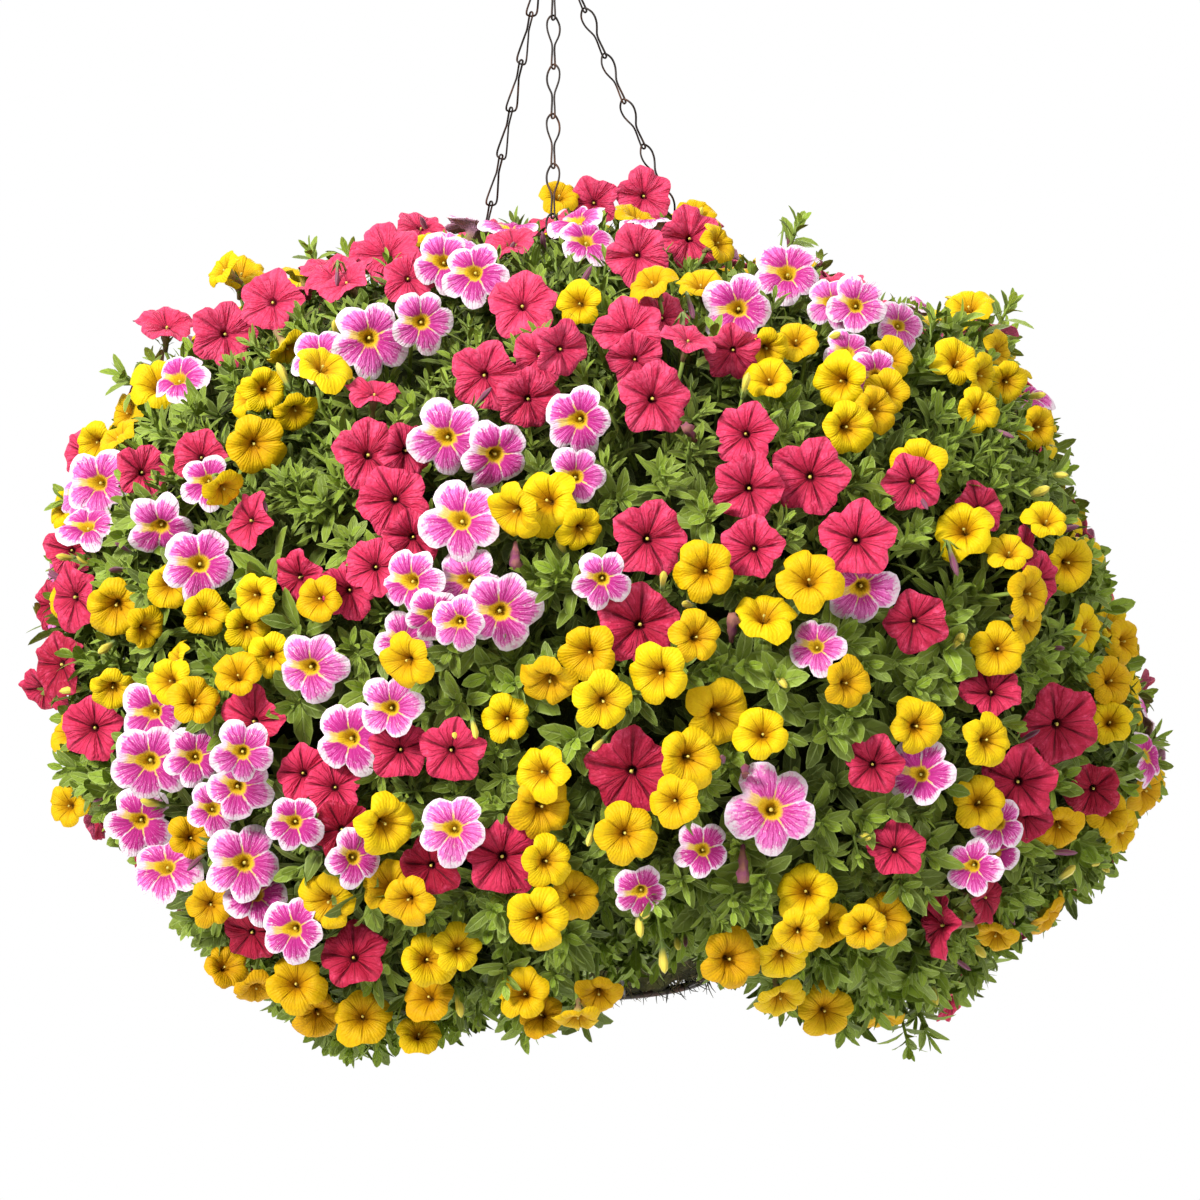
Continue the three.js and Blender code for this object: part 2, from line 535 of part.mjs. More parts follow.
// How far one bloom's edge cuts through another's face.
function crosses(a, b) {
  if (!crowds(a, b, 1)) return false;
  return [[a, b], [b, a]].some(([edge, face]) => {
    const { right, up } = frameOf(edge);
    for (let i = 0; i < 2 * LOBES; i += 1) {
      const angle = (i * Math.PI) / LOBES;
      const point = edge.centre.clone()
        .addScaledVector(right, edge.radius * Math.cos(angle))
        .addScaledVector(up, edge.radius * Math.sin(angle)).sub(face.centre);
      const off = point.dot(face.facing);
      const out = Math.sqrt(Math.max(0, point.lengthSq() - off * off));
      if (out < face.radius && Math.abs(off) < LIFT.slab) return true;
    }
    return false;
  });
}

function frameOf(bloom) {
  const start = Math.abs(bloom.facing.z) < 0.9 ? UP : vec(0, 1, 0);
  const right = start.clone().cross(bloom.facing).normalize();
  return { right, up: bloom.facing.clone().cross(right) };
}

// A bloom that cuts through one already placed is lifted off the dome, a step at a time.
function lifted(bloom, placed) {
  const outward = outwardAt(bloom.centre);
  for (let i = 0; i < LIFT.most; i += 1) {
    if (!placed.some((other) => crosses(bloom, other))) return bloom;
    bloom.centre.addScaledVector(outward, LIFT.step);
  }
  return bloom;
}

// One more bloom where the photograph doesn't reach: its kind by a draw, facing outwards.
function drawnBloom(random) {
  const centre = drawnPlace(random, 0);
  const draw = random();
  const name = draw < FILL.petunias ? 'petunia' : draw < FILL.stars ? 'star' : 'yellow';
  const kind = KINDS[name];
  const lean = vec(random() - 0.5, random() - 0.5, random() - 0.4).multiplyScalar(FILL.lean);
  const plain = name === 'petunia' ? PLAIN : {};
  const radius = ((kind.least + kind.most) * PHOTO.mmPerPixel) / 4;
  const facing = outwardAt(centre).add(lean).normalize();
  return { ...kind, ...plain, kind: name, centre, radius, facing };
}

function placeBlooms() {
  const placed = [];
  Object.keys(KINDS).forEach((name) => {
    KINDS[name].places.forEach((place) => placed.push(lifted(bloomAt(name, place), placed)));
  });
  const random = seededRandom(FILL.seed);
  for (let tries = 0; tries < FILL.tries; tries += 1) {
    const bloom = drawnBloom(random);
    const seen = outwardAt(bloom.centre).dot(AXES.toCamera) > FILL.seen;
    const crowded = placed.some((other) => bloom.centre.distanceTo(other.centre) < FILL.apart);
    if (!seen && !crowded) placed.push(bloom);
  }
  return placed;
}

function shootAt([across, down, spread, turn, lift]) {
  const centre = domePoint(across, down);
  const radius = (spread * PHOTO.mmPerPixel) / 2;
  return { ...WHORL, kind: 'whorl', centre, facing: facingOf(turn, lift), radius };
}

// Leaf whorls fill the room between the blooms, by a seeded draw over the dome.
function placeWhorls(blooms) {
  const random = seededRandom(WHORL.seed);
  const whorls = SHOOTS.map(shootAt).flatMap((shoot) => [shoot, farSide(shoot)]);
  for (let tries = 0; tries < FILL.tries && whorls.length < WHORL.count; tries += 1) {
    const centre = drawnPlace(random, WHORL.sunk);
    const spread = WHORL.least + (WHORL.most - WHORL.least) * random();
    const radius = (spread * PHOTO.mmPerPixel) / 2;
    const whorl = { ...WHORL, kind: 'whorl', centre, facing: outwardAt(centre), radius };
    if (![...blooms, ...whorls].some((other) => crowds(whorl, other, WHORL.apart))) whorls.push(whorl);
  }
  return whorls;
}

// ---- One bloom or whorl as a solid -------------------------------------------------------

// The ways from a bloom's back to the leafy core, kept inside the bloom's own cell.
function rootOf(bloom) {
  const inward = outwardAt(bloom.centre).negate();
  const back = bloom.facing.clone().negate();
  const way = inward.clone().addScaledVector(back, ROOT.lean).normalize();
  const point = bloom.centre.clone().addScaledVector(bloom.facing, -TUBE.neckDepth * bloom.radius);
  for (let i = 0; i < ROOT.most && domeValue(point, CORE.inset + TUBE.rooted) > 1; i += 1) {
    point.addScaledVector(way, ROOT.step);
  }
  return keptInCell(point, bloom.cell);
}

// A point turned about the axis, and raised or lowered, until it is well inside a cell.
function keptInCell(point, cell) {
  const across = Math.max(Math.hypot(point.x, point.y), CORE.rootReach);
  const margin = THREE.MathUtils.radToDeg(Math.asin(ROOT.margin / across));
  const start = FIRST_SEAM + (cell.sector * 360) / SECTORS + margin;
  const width = 360 / SECTORS - 2 * margin;
  const azimuth = THREE.MathUtils.radToDeg(Math.atan2(point.y, point.x));
  const half = 180 - width / 2;
  const from = THREE.MathUtils.euclideanModulo(azimuth - start + half, 360) - half;
  const kept = start + THREE.MathUtils.clamp(from, 0, width);
  const height = cell.upper ? Math.max(point.z, TIER_SPLIT + ROOT.margin)
    : Math.min(point.z, TIER_SPLIT - ROOT.margin);
  return around(across, kept, height);
}

function cellOf(point) {
  const azimuth = THREE.MathUtils.radToDeg(Math.atan2(point.y, point.x));
  const turn = THREE.MathUtils.euclideanModulo(azimuth - FIRST_SEAM, 360);
  return { sector: Math.floor((turn * SECTORS) / 360), upper: point.z > TIER_SPLIT };
}

// A bloom: petals as a pointed star round a sunk throat, and a three-sided tube behind it.
function bloomSolid(bloom, swell = 1) {
  const { right, up } = frameOf(bloom);
  const { centre, facing } = bloom;
  const radius = bloom.radius * swell;
  const at = (angle, reach, rise) => centre.clone()
    .addScaledVector(right, reach * Math.cos(angle))
    .addScaledVector(up, reach * Math.sin(angle))
    .addScaledVector(facing, rise);
  const points = [];
  for (let i = 0; i < bloom.rim; i += 1) {
    const tip = (i * LOBES) % bloom.rim === 0;
    const angle = (2 * Math.PI * i) / bloom.rim + Math.PI / 2;
    points.push(at(angle, radius * (tip ? 1 : bloom.notch), tip ? -TIP_CURL * radius : 0));
  }
  const throat = points.push(at(0, 0, -bloom.throat * radius)) - 1;
  const neck = points.length;
  const turns = [0, 1, 2].map((k) => (2 * Math.PI * k) / 3 + Math.PI / 2);
  turns.forEach((angle) => points.push(at(angle, TUBE.neck * swell, -TUBE.neckDepth * radius)));
  const root = rootOf(bloom);
  const axis = centre.clone().addScaledVector(facing, -TUBE.neckDepth * radius).sub(root).normalize();
  const level = right.clone().addScaledVector(axis, -right.dot(axis)).normalize();
  const upright = axis.clone().cross(level);
  const foot = points.length;
  turns.forEach((angle) => points.push(root.clone()
    .addScaledVector(level, TUBE.root * swell * Math.cos(angle))
    .addScaledVector(upright, TUBE.root * swell * Math.sin(angle))));
  return solidFrom(points, bloomFaces(bloom.rim, throat, neck, foot));
}

function bloomFaces(rim, throat, neck, foot) {
  const faces = [];
  const nearest = (i) => neck + (Math.round((i * 3) / rim) % 3);
  for (let i = 0; i < rim; i += 1) {
    const next = (i + 1) % rim;
    faces.push([i, next, throat], [next, i, nearest(i)]);
    if (nearest(i) !== nearest(i + 1)) faces.push([next, nearest(i), nearest(i + 1)]);
  }
  for (let k = 0; k < 3; k += 1) {
    const next = (k + 1) % 3;
    faces.push([neck + k, foot + k, neck + next], [neck + next, foot + k, foot + next]);
  }
  faces.push([foot, foot + 2, foot + 1]);
  return faces;
}

// ---- The leafy core of each spray ----------------------------------------------------------

// The radius of the core's outer face at a height above or below the rim.
function coreRadius(height) {
  const most = (height > 0 ? DOME.rise : DOME.drop) - CORE.inset;
  return (DOME.radius - CORE.inset) * (1 - (Math.abs(height) / most) ** DOME.power) ** (1 / DOME.power);
}

// The section of one spray's core as radius and height. The outer face comes first, and then the
// faces that keep clear of the soil, the liner, the rim and the wires.
function coreSection(upper) {
  const level = TIER_SPLIT + (upper ? CORE.seam : -CORE.seam);
  const shares = upper ? CORE.crownRows : CORE.trailingRows;
  const most = (upper ? DOME.rise : DOME.drop) - CORE.inset;
  const heights = [level, ...shares.map((share) => (upper ? share : -share) * most)];
  const outer = heights.map((height) => [coreRadius(height), height]);
  if (upper) {
    const floor = SOIL.coreGap - SOIL.topDrop;
    const inside = RIM_RADIUS - CORE.insideRim;
    const hole = CORE.centreHole;
    return { outer, inner: [[hole, most], [hole, floor], [inside, floor], [inside, level]] };
  }
  const clear = WIRE.rim + SOIL.coreGap;
  const flats = 1 / Math.cos(Math.PI / TURNS);
  const beside = BOWL_BREAKS.slice(1, -1).reverse()
    .map((depth) => bowlPoint(depth, -clear)).map((point) => [point.x * flats, point.y]);
  const aboveRim = (RIM_RADIUS + clear) * flats;
  const ledge = RIM_RADIUS - CORE.ledge;
  const overRim = [[aboveRim, clear], [ledge, clear], [ledge, level]];
  return { outer, inner: [[CORE.underReach, -most], ...beside, ...overRim] };
}

// A spray's core: its section carried round through a few positions, with a leafy peak raised
// from the middle of each patch of the outer face.
function coreSolid(cell, random) {
  const { outer, inner } = coreSection(cell.upper);
  const section = [...outer, ...inner];
  const start = FIRST_SEAM + (cell.sector * 360) / SECTORS;
  const points = [];
  for (let step = 0; step <= CORE.columns; step += 1) {
    const azimuth = start + (360 / SECTORS) * (step / CORE.columns);
    const aside = around(CORE.seam * (1 - (2 * step) / CORE.columns), azimuth + 90, 0);
    section.forEach(([radius, height]) => points.push(around(radius, azimuth, height).add(aside)));
  }
  const faces = [];
  const count = section.length;
  for (let step = 0; step < CORE.columns; step += 1) {
    for (let i = 0; i < count; i += 1) {
      const next = (i + 1) % count;
      const [here, there] = [step * count, (step + 1) * count];
      const patch = [here + i, here + next, there + next, there + i];
      if (i < outer.length - 1) {
        points.push(leafyPeak(patch.map((k) => points[k]), random));
        const peak = points.length - 1;
        patch.forEach((corner, k) => faces.push([corner, patch[(k + 1) % 4], peak]));
      } else {
        faces.push([patch[0], patch[1], patch[2]], [patch[0], patch[2], patch[3]]);
      }
    }
  }
  faces.push(...endFaces(section, CORE.columns * count));
  return solidFrom(points, faces);
}

function leafyPeak(corners, random) {
  const middle = vec(0, 0, 0);
  corners.forEach((corner) => middle.addScaledVector(corner, 1 / corners.length));
  const { peak } = CORE;
  const aside = corners[2].clone().sub(corners[0]).multiplyScalar(peak.aside * (random() - 0.5));
  const rise = peak.rise * (peak.least + peak.more * random());
  return middle.addScaledVector(outwardAt(middle), rise).add(aside);
}

// The two flat ends of a swept section.
function endFaces(section, last) {
  const outline = section.map(([radius, height]) => new THREE.Vector2(radius, height));
  const turn = THREE.ShapeUtils.area(outline) > 0 ? 1 : -1;
  return THREE.ShapeUtils.triangulateShape(outline, []).flatMap(([a, b, c]) => (
    turn > 0 ? [[a, c, b], [last + a, last + b, last + c]] : [[a, b, c], [last + a, last + c, last + b]]
  ));
}

// ---- Putting the sprays together -----------------------------------------------------------

const sameCell = (a, b) => a.sector === b.sector && a.upper === b.upper;

// Blooms that lie over one another grow on one spray: the later one joins the earlier one's.
function assignCells(items) {
  items.forEach((item, i) => {
    item.cell = cellOf(item.centre);
    const mate = items.slice(0, i).find((other) => crowds(item, other, MATE_SHARE));
    if (mate) item.cell = mate.cell;
  });
}

// Cuts what still crosses a bloom of another spray, and leaves a leaf whorl out instead.
function settleCrossings(items) {
  const kept = [];
  items.forEach((item) => {
    let solid = bloomSolid(item);
    const rivals = kept.filter((other) => !sameCell(other.cell, item.cell)
      && other.centre.distanceTo(item.centre) < 2 * (other.radius + item.radius) + NEARBY);
    const hits = rivals.filter((other) => solid.intersect(other.solid).volume() > 0);
    if (hits.length && item.kind === 'whorl') return;
    hits.forEach((other) => { solid = solid.subtract(bloomSolid(other, SWELL)); });
    if (hits.length) solid = largestPiece(solid);
    kept.push({ ...item, solid });
  });
  return kept;
}

function largestPiece(solid) {
  return solid.decompose().sort((a, b) => b.volume() - a.volume())[0];
}

function sprayCells() {
  const cells = [];
  for (let sector = 0; sector < SECTORS; sector += 1) {
    cells.push({ sector, upper: true }, { sector, upper: false });
  }
  return cells;
}

function spraySolid(cell, items, sleeves, random) {
  const own = items.filter((item) => sameCell(item.cell, cell)).map((item) => item.solid);
  let core = coreSolid(cell, random);
  items.filter((item) => !sameCell(item.cell, cell) && item.solid.intersect(core).volume() > 0)
    .forEach((item) => { core = core.subtract(bloomSolid(item, SWELL)); });
  const parts = [largestPiece(core), ...own];
  if (cell.upper && hasStem(cell.sector)) {
    parts.push(stem(stemPlace(cell.sector), STEM.radius, STEM.depth));
  }
  return largestPiece(joined(parts).subtract(sleeves).asOriginal().simplify(FINEST));
}

function sprayName(cell) {
  return `${cell.upper ? 'crown' : 'trailing'}_spray_${String(cell.sector + 1).padStart(2, '0')}`;
}

// ---- The part ------------------------------------------------------------------------------

const LOOK = {
  wire: { color: 0x3a2a20, roughness: 0.55, metalness: 0.6 },
  moss: { color: 0x5a5231, roughness: 1, metalness: 0 },
  soil: { color: 0x2f2119, roughness: 1, metalness: 0 },
  crown: { color: 0xc23a6c, roughness: 0.7, metalness: 0 },
  trailing: { color: 0xe0a818, roughness: 0.7, metalness: 0 },
};

function named(name, solid, look) {
  const mesh = new THREE.Mesh(geometryFrom(solid), new THREE.MeshStandardMaterial(look));
  mesh.name = name;
  return mesh;
}

function hangingBasket() {
  const group = new THREE.Group();
  group.position.z = -(CHAIN_RISE + HOOK_RISE - 2 * HOOK.wire);
  group.add(named('hanging_hook', hangingHook(), LOOK.wire));
  CHAINS.forEach((chain) => group.add(named(chain.name, hangingChain(chain), LOOK.wire)));
  group.add(named('wire_basket', wireBasket(), LOOK.wire));
  group.add(named('moss_liner', mossLiner(), LOOK.moss));
  group.add(named('potting_soil', pottingSoil(), LOOK.soil));

  const blooms = placeBlooms();
  const items = [...blooms, ...placeWhorls(blooms)];
  assignCells(items);
  const kept = settleCrossings(items);
  const sleeves = joined(CHAINS.map(chainSleeve));
  const random = seededRandom(CORE.peak.seed);
  sprayCells().forEach((cell) => {
    const look = cell.upper ? LOOK.crown : LOOK.trailing;
    group.add(named(sprayName(cell), spraySolid(cell, kept, sleeves, random), look));
  });
  return group;
}

export default hangingBasket();
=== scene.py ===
"""A hanging basket of petunias and calibrachoas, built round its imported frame.

The growth is placed as in the frame's own source: by readings off the photograph where it
shows, and by a seeded draw where it doesn't. Millimetres from the centre of the basket's rim
are used while placing, and metres in the part's frame for every mesh.
"""

from functools import lru_cache
from math import asin, atan2, cos, degrees, floor, hypot, inf, log, pi, radians, sin, sqrt

import bmesh
import bpy
from bpy.props import FloatProperty, FloatVectorProperty, IntProperty, PointerProperty
from mathutils import Matrix, Vector, noise
from mathutils.kdtree import KDTree


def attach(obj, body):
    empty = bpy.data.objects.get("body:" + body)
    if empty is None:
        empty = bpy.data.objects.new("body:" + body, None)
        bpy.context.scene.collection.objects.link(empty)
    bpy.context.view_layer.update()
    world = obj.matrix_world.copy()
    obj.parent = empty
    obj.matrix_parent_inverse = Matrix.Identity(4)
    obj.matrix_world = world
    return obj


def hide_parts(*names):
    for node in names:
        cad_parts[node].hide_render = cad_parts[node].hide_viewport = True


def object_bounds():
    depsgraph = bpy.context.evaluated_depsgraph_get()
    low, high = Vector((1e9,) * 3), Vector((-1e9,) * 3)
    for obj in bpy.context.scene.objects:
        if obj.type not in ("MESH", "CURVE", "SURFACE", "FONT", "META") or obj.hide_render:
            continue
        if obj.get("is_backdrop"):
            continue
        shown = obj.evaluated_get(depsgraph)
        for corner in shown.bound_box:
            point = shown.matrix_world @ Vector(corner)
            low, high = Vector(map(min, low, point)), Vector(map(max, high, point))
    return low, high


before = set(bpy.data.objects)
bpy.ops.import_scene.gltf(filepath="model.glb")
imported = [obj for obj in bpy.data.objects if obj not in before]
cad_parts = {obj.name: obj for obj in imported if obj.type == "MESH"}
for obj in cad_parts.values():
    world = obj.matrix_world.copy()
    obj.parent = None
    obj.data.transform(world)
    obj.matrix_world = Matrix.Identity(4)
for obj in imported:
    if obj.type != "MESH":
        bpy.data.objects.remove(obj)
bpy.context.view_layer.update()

bl_info = {
    "name": "Petunia Hanging Basket",
    "version": (1, 0, 0),
    "blender": (4, 5, 0),
    "location": "3D View > Sidebar > Basket",
    "description": "Builds a moss-lined hanging basket of petunias and calibrachoas",
    "category": "Add Mesh",
}

MM = 0.001
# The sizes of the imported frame, in millimetres. The part's origin is where the hook hangs, and the
# rim's centre is this far above it. The basket's side is an ellipse that is cut off at its depth.
RIM_HEIGHT = -505
RIM_RADIUS = 175
BASKET_DEPTH = 170
BASKET_BOWL = 178
# Over the rim's centre: the bottom of the hook's eye, and from there the top of its bend.
CHAIN_RISE = 437
HOOK_RISE = 72
EYE_RADIUS = 12
BEND_RADIUS = 14
# Each chain: its direction round the rim in degrees, its links, and its place in the eye.
CHAINS = {
    "chain_right": (20, 16, 7),
    "chain_left": (141, 16, -7),
    "chain_front": (260, 15, 0),
}
# The moss inside the wires, from one depth to another, and the soil inside the moss.
LINER_INSET = 2.1
LINER_WALL = 13
LINER_TOP = 9
LINER_LOWEST = 166
SOIL_TOP = 15
TOUCH_GAP = 0.4

# The outline that the blooms reach, the quarters that the growth is made in, from so many degrees
# round, and the height that parts the crown from the trailing growth.
DOME = {"radius": 336, "rise": 292, "drop": 212, "power": 2.35}
FIRST_SEAM = 20
QUARTERS = ("back_right", "back_left", "front_left", "front_right")
TIER_SPLIT = 26

# The photograph's view, in degrees and millimetres, and how far before and behind the point that
# it aims at a line of sight is followed, in steps.
VIEW = {"distance": 2450, "elevation": 5, "roll": 3.9, "aim_rise": 61, "aim_right": 2}
SIGHT = {"before": 400, "behind": 100, "step": 2}
PHOTO_CENTRE = 600
PHOTO_PIXELS = 1200
MM_PER_PIXEL = 0.6
# Each bloom as read off the photograph: pixels across and down to its middle, its spread in
# pixels, and how far it turns to the right and up, where it does (the sine of each angle).
READINGS = {
    "petunia": [
        [166, 322, 66, -0.1, 0.78], [224, 334, 68, 0, 0.25], [272, 303, 66, -0.5, 0.1],
        [387, 250, 72, 0, 0.35], [420, 222, 50, 0.3, 0.7], [408, 273, 46, 0.1, -0.1],
        [523, 303, 70, 0.05, 0.1], [485, 377, 68], [538, 357, 58, -0.4], [528, 400, 60, 0.3, -0.3],
        [562, 345, 40, 0.6], [373, 388, 54, 0.1, 0.9], [592, 200, 52, -0.3, 0.1],
        [645, 195, 60, -0.15, 0.2], [637, 254, 64, 0, 0.1], [692, 237, 64, 0.2],
        [630, 330, 66, 0, 0.2], [665, 312, 50, 0.3, 0.4], [636, 355, 46, 0, -0.3],
        [656, 397, 72, -0.05, 0.25], [690, 335, 48, 0, 0.85], [733, 350, 50, 0, -0.4], [745, 432, 62],
        [78, 450, 50, -0.5], [140, 468, 48, 0.2], [197, 456, 58, -0.1, 0.3], [247, 520, 58, -0.6],
        [68, 548, 52, -0.3, 0.2], [72, 598, 72, -0.75], [44, 604, 56, -0.8], [55, 665, 72, -0.6],
        [32, 692, 40, -0.6, -0.5], [292, 577, 44, -0.3, -0.5], [90, 728, 66, 0, 0.1],
        [249, 721, 68, -0.5], [371, 452, 72, 0, 0.45], [407, 450, 50, 0.3], [393, 500, 70, 0, -0.1],
        [411, 537, 50], [375, 565, 56], [342, 588, 36], [748, 487, 68], [810, 477, 74], [651, 538, 74],
        [751, 547, 62, 0, 0.15], [856, 540, 72, 0, 0.2], [640, 625, 78], [917, 622, 62, 0.1],
        [912, 482, 58, 0, -0.2], [985, 505, 46, 0.3, 0.2], [1035, 552, 44, 0.8], [1047, 578, 36, 0.6],
        [992, 688, 60, 0, 0.4], [1062, 725, 80], [303, 772, 56], [332, 787, 56], [340, 830, 50],
        [400, 748, 60], [452, 752, 62], [504, 858, 74], [431, 867, 60, -0.3, -0.2],
        [250, 938, 50, -0.2, -0.6], [353, 955, 66, 0, 0.35], [630, 773, 82], [874, 765, 56, -0.2],
        [1020, 783, 72, -0.1, 0.1], [1093, 792, 60, 0.4, -0.1], [1032, 815, 50, 0.2, -0.2],
        [899, 850, 50], [934, 925, 64, -0.85, -0.1], [990, 900, 56, 0.92, -0.1],
        [955, 1000, 56, 0.85, -0.35],
    ],
    "striped": [
        [444, 262, 64, 0, 0.1], [474, 274, 66, 0, 0.05], [370, 340, 76, 0, 0.1], [423, 322, 64],
        [318, 355, 60, 0, 0.3], [577, 420, 68, 0.05], [587, 238, 60, -0.05, 0.65],
        [787, 272, 72, 0.05, 0.2], [738, 308, 72, -0.15], [832, 300, 56, -0.4, 0.1],
        [855, 307, 58, 0.1], [852, 347, 44, 0.3, 0.2], [880, 370, 44, 0.4], [903, 322, 50, 0.5, 0.1],
        [97, 483, 72, -0.05, 0.05], [208, 482, 56], [88, 524, 62, -0.1, 0.7],
        [160, 528, 66, -0.2, -0.4], [198, 563, 76, -0.05], [152, 712, 68], [448, 438, 72],
        [496, 456, 70, 0.2, -0.35], [462, 520, 76, 0, 0.1], [412, 580, 64, -0.2],
        [467, 583, 64, 0, 0.1], [432, 615, 46, 0, -0.2], [458, 622, 44, 0, -0.3], [503, 610, 76],
        [403, 640, 44, 0, 0.2], [578, 475, 56, 0.2, -0.1], [602, 580, 46, 0.3], [312, 667, 70],
        [393, 706, 60, 0.1], [350, 737, 72, -0.1], [861, 590, 72], [817, 645, 56, 0, 0.1],
        [150, 763, 80], [195, 757, 60, 0.1, -0.1], [248, 750, 60, 0, -0.1], [242, 787, 66, 0, -0.3],
        [215, 808, 56, 0.1], [139, 823, 68], [165, 867, 72, 0, 0.4], [298, 820, 56],
        [245, 862, 76, 0, 0.3], [256, 892, 64, 0, 0.4], [293, 928, 66, 0, 0.1], [358, 855, 58, 0.4],
        [453, 827, 68], [773, 808, 86], [640, 895, 46, 0, -0.3], [704, 852, 44, 0.3],
        [922, 773, 64, 0, 0.1], [1000, 825, 50, 0.1], [997, 853, 50, 0.2, -0.1],
        [973, 868, 48, -0.2, -0.2],
    ],
    "golden": [
        [157, 381, 61, 0.05, 0.3], [240, 267, 58, 0.2, 0.75], [222, 266, 40, -0.5, 0.6],
        [265, 388, 44, 0, -0.2], [118, 407, 34, -0.7], [232, 388, 26, -0.9], [289, 350, 40, 0.3, -0.8],
        [292, 410, 34, 0.2, -0.8], [330, 367, 60, 0, 0.65], [578, 303, 46, -0.2, 0.2],
        [560, 190, 40, -0.2, 0.5], [648, 284, 50, -0.2, 0.7], [700, 280, 48, 0.2, 0.6],
        [697, 207, 36, 0.3, 0.5], [722, 243, 46, 0.85], [798, 337, 42, 0.1, 0.3],
        [768, 350, 42, -0.2, -0.4], [768, 375, 48, 0, 0.2], [838, 380, 56, -0.1, 0.1], [850, 428, 54],
        [878, 410, 50, 0.3, 0.1], [897, 350, 34, 0.3], [890, 387, 34, 0.2, -0.3],
        [968, 304, 56, 0.05, 0.75], [958, 358, 54, 0.2, 0.2], [984, 375, 44, 0.6], [981, 408, 46, 0.1],
        [1008, 343, 30, 0.7], [1010, 380, 40, 0.5], [1045, 424, 38, 0.6, 0.1],
        [98, 446, 50, -0.2, 0.1], [257, 446, 60, 0, -0.1], [225, 488, 32, 0.5, -0.6],
        [57, 598, 24, -0.5], [115, 610, 62], [147, 628, 44, 0.4, -0.2], [167, 588, 46, -0.1, -0.2],
        [205, 613, 44, 0.1, -0.4], [252, 597, 40, -0.1, 0.2], [243, 628, 34, 0.1],
        [165, 660, 30, -0.9], [270, 657, 46, -0.2, -0.1], [240, 670, 48, 0, 0.2], [170, 680, 46, -0.2],
        [200, 697, 50], [112, 692, 48, -0.3, -0.4], [48, 503, 26, -0.8], [545, 502, 62],
        [512, 515, 54, -0.4, -0.1], [582, 530, 46, 0.3, -0.3], [407, 661, 52, -0.1],
        [318, 600, 46, -0.3, 0.2], [587, 653, 54, -0.2, 0.2], [548, 684, 56, 0, -0.6],
        [603, 700, 56, 0.1], [505, 718, 40], [704, 570, 58, -0.1, -0.1], [808, 577, 62, 0, 0.15],
        [765, 612, 60, 0.1, 0.6], [697, 635, 50, 0, 0.1], [656, 673, 58], [722, 713, 66],
        [760, 731, 52, 0.2], [848, 682, 50, 0.4, -0.2], [918, 463, 54, 0, -0.1],
        [963, 529, 60, 0, 0.25], [1072, 566, 58, 0, 0.1], [1010, 548, 36, 0, 0.5],
        [1027, 593, 56, 0.5, 0.2], [1030, 623, 44, 0.6, -0.1], [1048, 515, 36, 0.3, 0.7],
        [1090, 630, 50, 0.75], [1128, 641, 46, 0.7, 0.2], [998, 650, 54], [1113, 679, 52, 0.1],
        [1113, 720, 40, 0.1], [918, 725, 54], [988, 741, 54, 0.2], [61, 806, 38, -0.5, -0.2],
        [186, 838, 34], [212, 903, 44, -0.2, -0.2], [325, 902, 60], [391, 826, 60, 0.35],
        [386, 885, 54], [408, 900, 50, 0.1, -0.1], [227, 966, 46, 0.1, 0.3], [296, 983, 58, 0, 0.1],
        [256, 995, 32, -0.2, -0.7], [362, 1018, 58, 0, 0.1], [318, 1018, 50, -0.1],
        [420, 1033, 46, 0.2, 0.3], [543, 808, 62], [540, 772, 54, 0, 0.4], [549, 860, 50, 0.1],
        [577, 895, 50, 0.4], [537, 917, 60, 0, -0.35], [459, 947, 48], [429, 960, 54, -0.1, 0.1],
        [427, 997, 52, 0, 0.2], [522, 992, 52, -0.1, -0.1], [540, 1015, 46, 0.1, 0.2],
        [577, 1025, 32, 0, -0.8], [598, 998, 44, 0.1, -0.3], [690, 757, 60, 0, 0.1], [674, 800, 50],
        [626, 832, 58, 0, -0.3], [733, 959, 60, 0, -0.3], [783, 960, 52, 0.1, -0.5],
        [782, 1003, 52, -0.1, -0.75], [826, 1011, 56, 0, -0.1], [804, 893, 58, 0.1],
        [828, 925, 42, 0.1], [798, 935, 34, -0.3, -0.3], [888, 917, 54, 0.1],
        [862, 925, 44, -0.2, -0.2], [884, 1025, 44, 0.5, -0.8], [981, 801, 54, -0.2, -0.1],
        [1060, 830, 52, 0.1, -0.3], [1112, 812, 50, 0.7, -0.2], [1151, 793, 54, 0.5, -0.4],
        [1053, 918, 54, 0.8, -0.4], [995, 941, 42, -0.5, -0.7],
    ],
}
# Leafy shoots that stand past the blooms, read the same way.
SHOOTS = [
    [62, 768, 56, -0.7, 0.1], [188, 922, 54, -0.6, -0.3], [60, 500, 56, -0.8, 0.1],
    [118, 372, 56, -0.7, 0.5], [350, 1052, 50, -0.1, -0.8], [505, 985, 56, 0, -0.6],
    [800, 220, 54, 0.3, 0.8], [1012, 300, 50, 0.4, 0.8], [1066, 470, 56, 0.8, 0.3],
    [1160, 738, 58, 0.8, 0.3], [930, 1040, 58, 0.3, -0.8], [985, 975, 58, 0.8, -0.3],
    [1100, 868, 50, 0.6, -0.3], [308, 246, 44, -0.3, 0.8], [845, 1035, 50, 0, -0.7],
    [915, 1020, 58, -0.3, -0.8], [1005, 950, 50, 0.9, 0.1],
    [905, 985, 50, -0.4, -0.7], [930, 900, 58, 0.2, -0.4],
    [1010, 900, 58, 0.6, -0.4], [895, 945, 50, 0, -0.6],
    [910, 1052, 44, 0.2, -0.9], [870, 985, 50, -0.1, -0.5],
    [655, 905, 50, 0.3, -0.5],
]
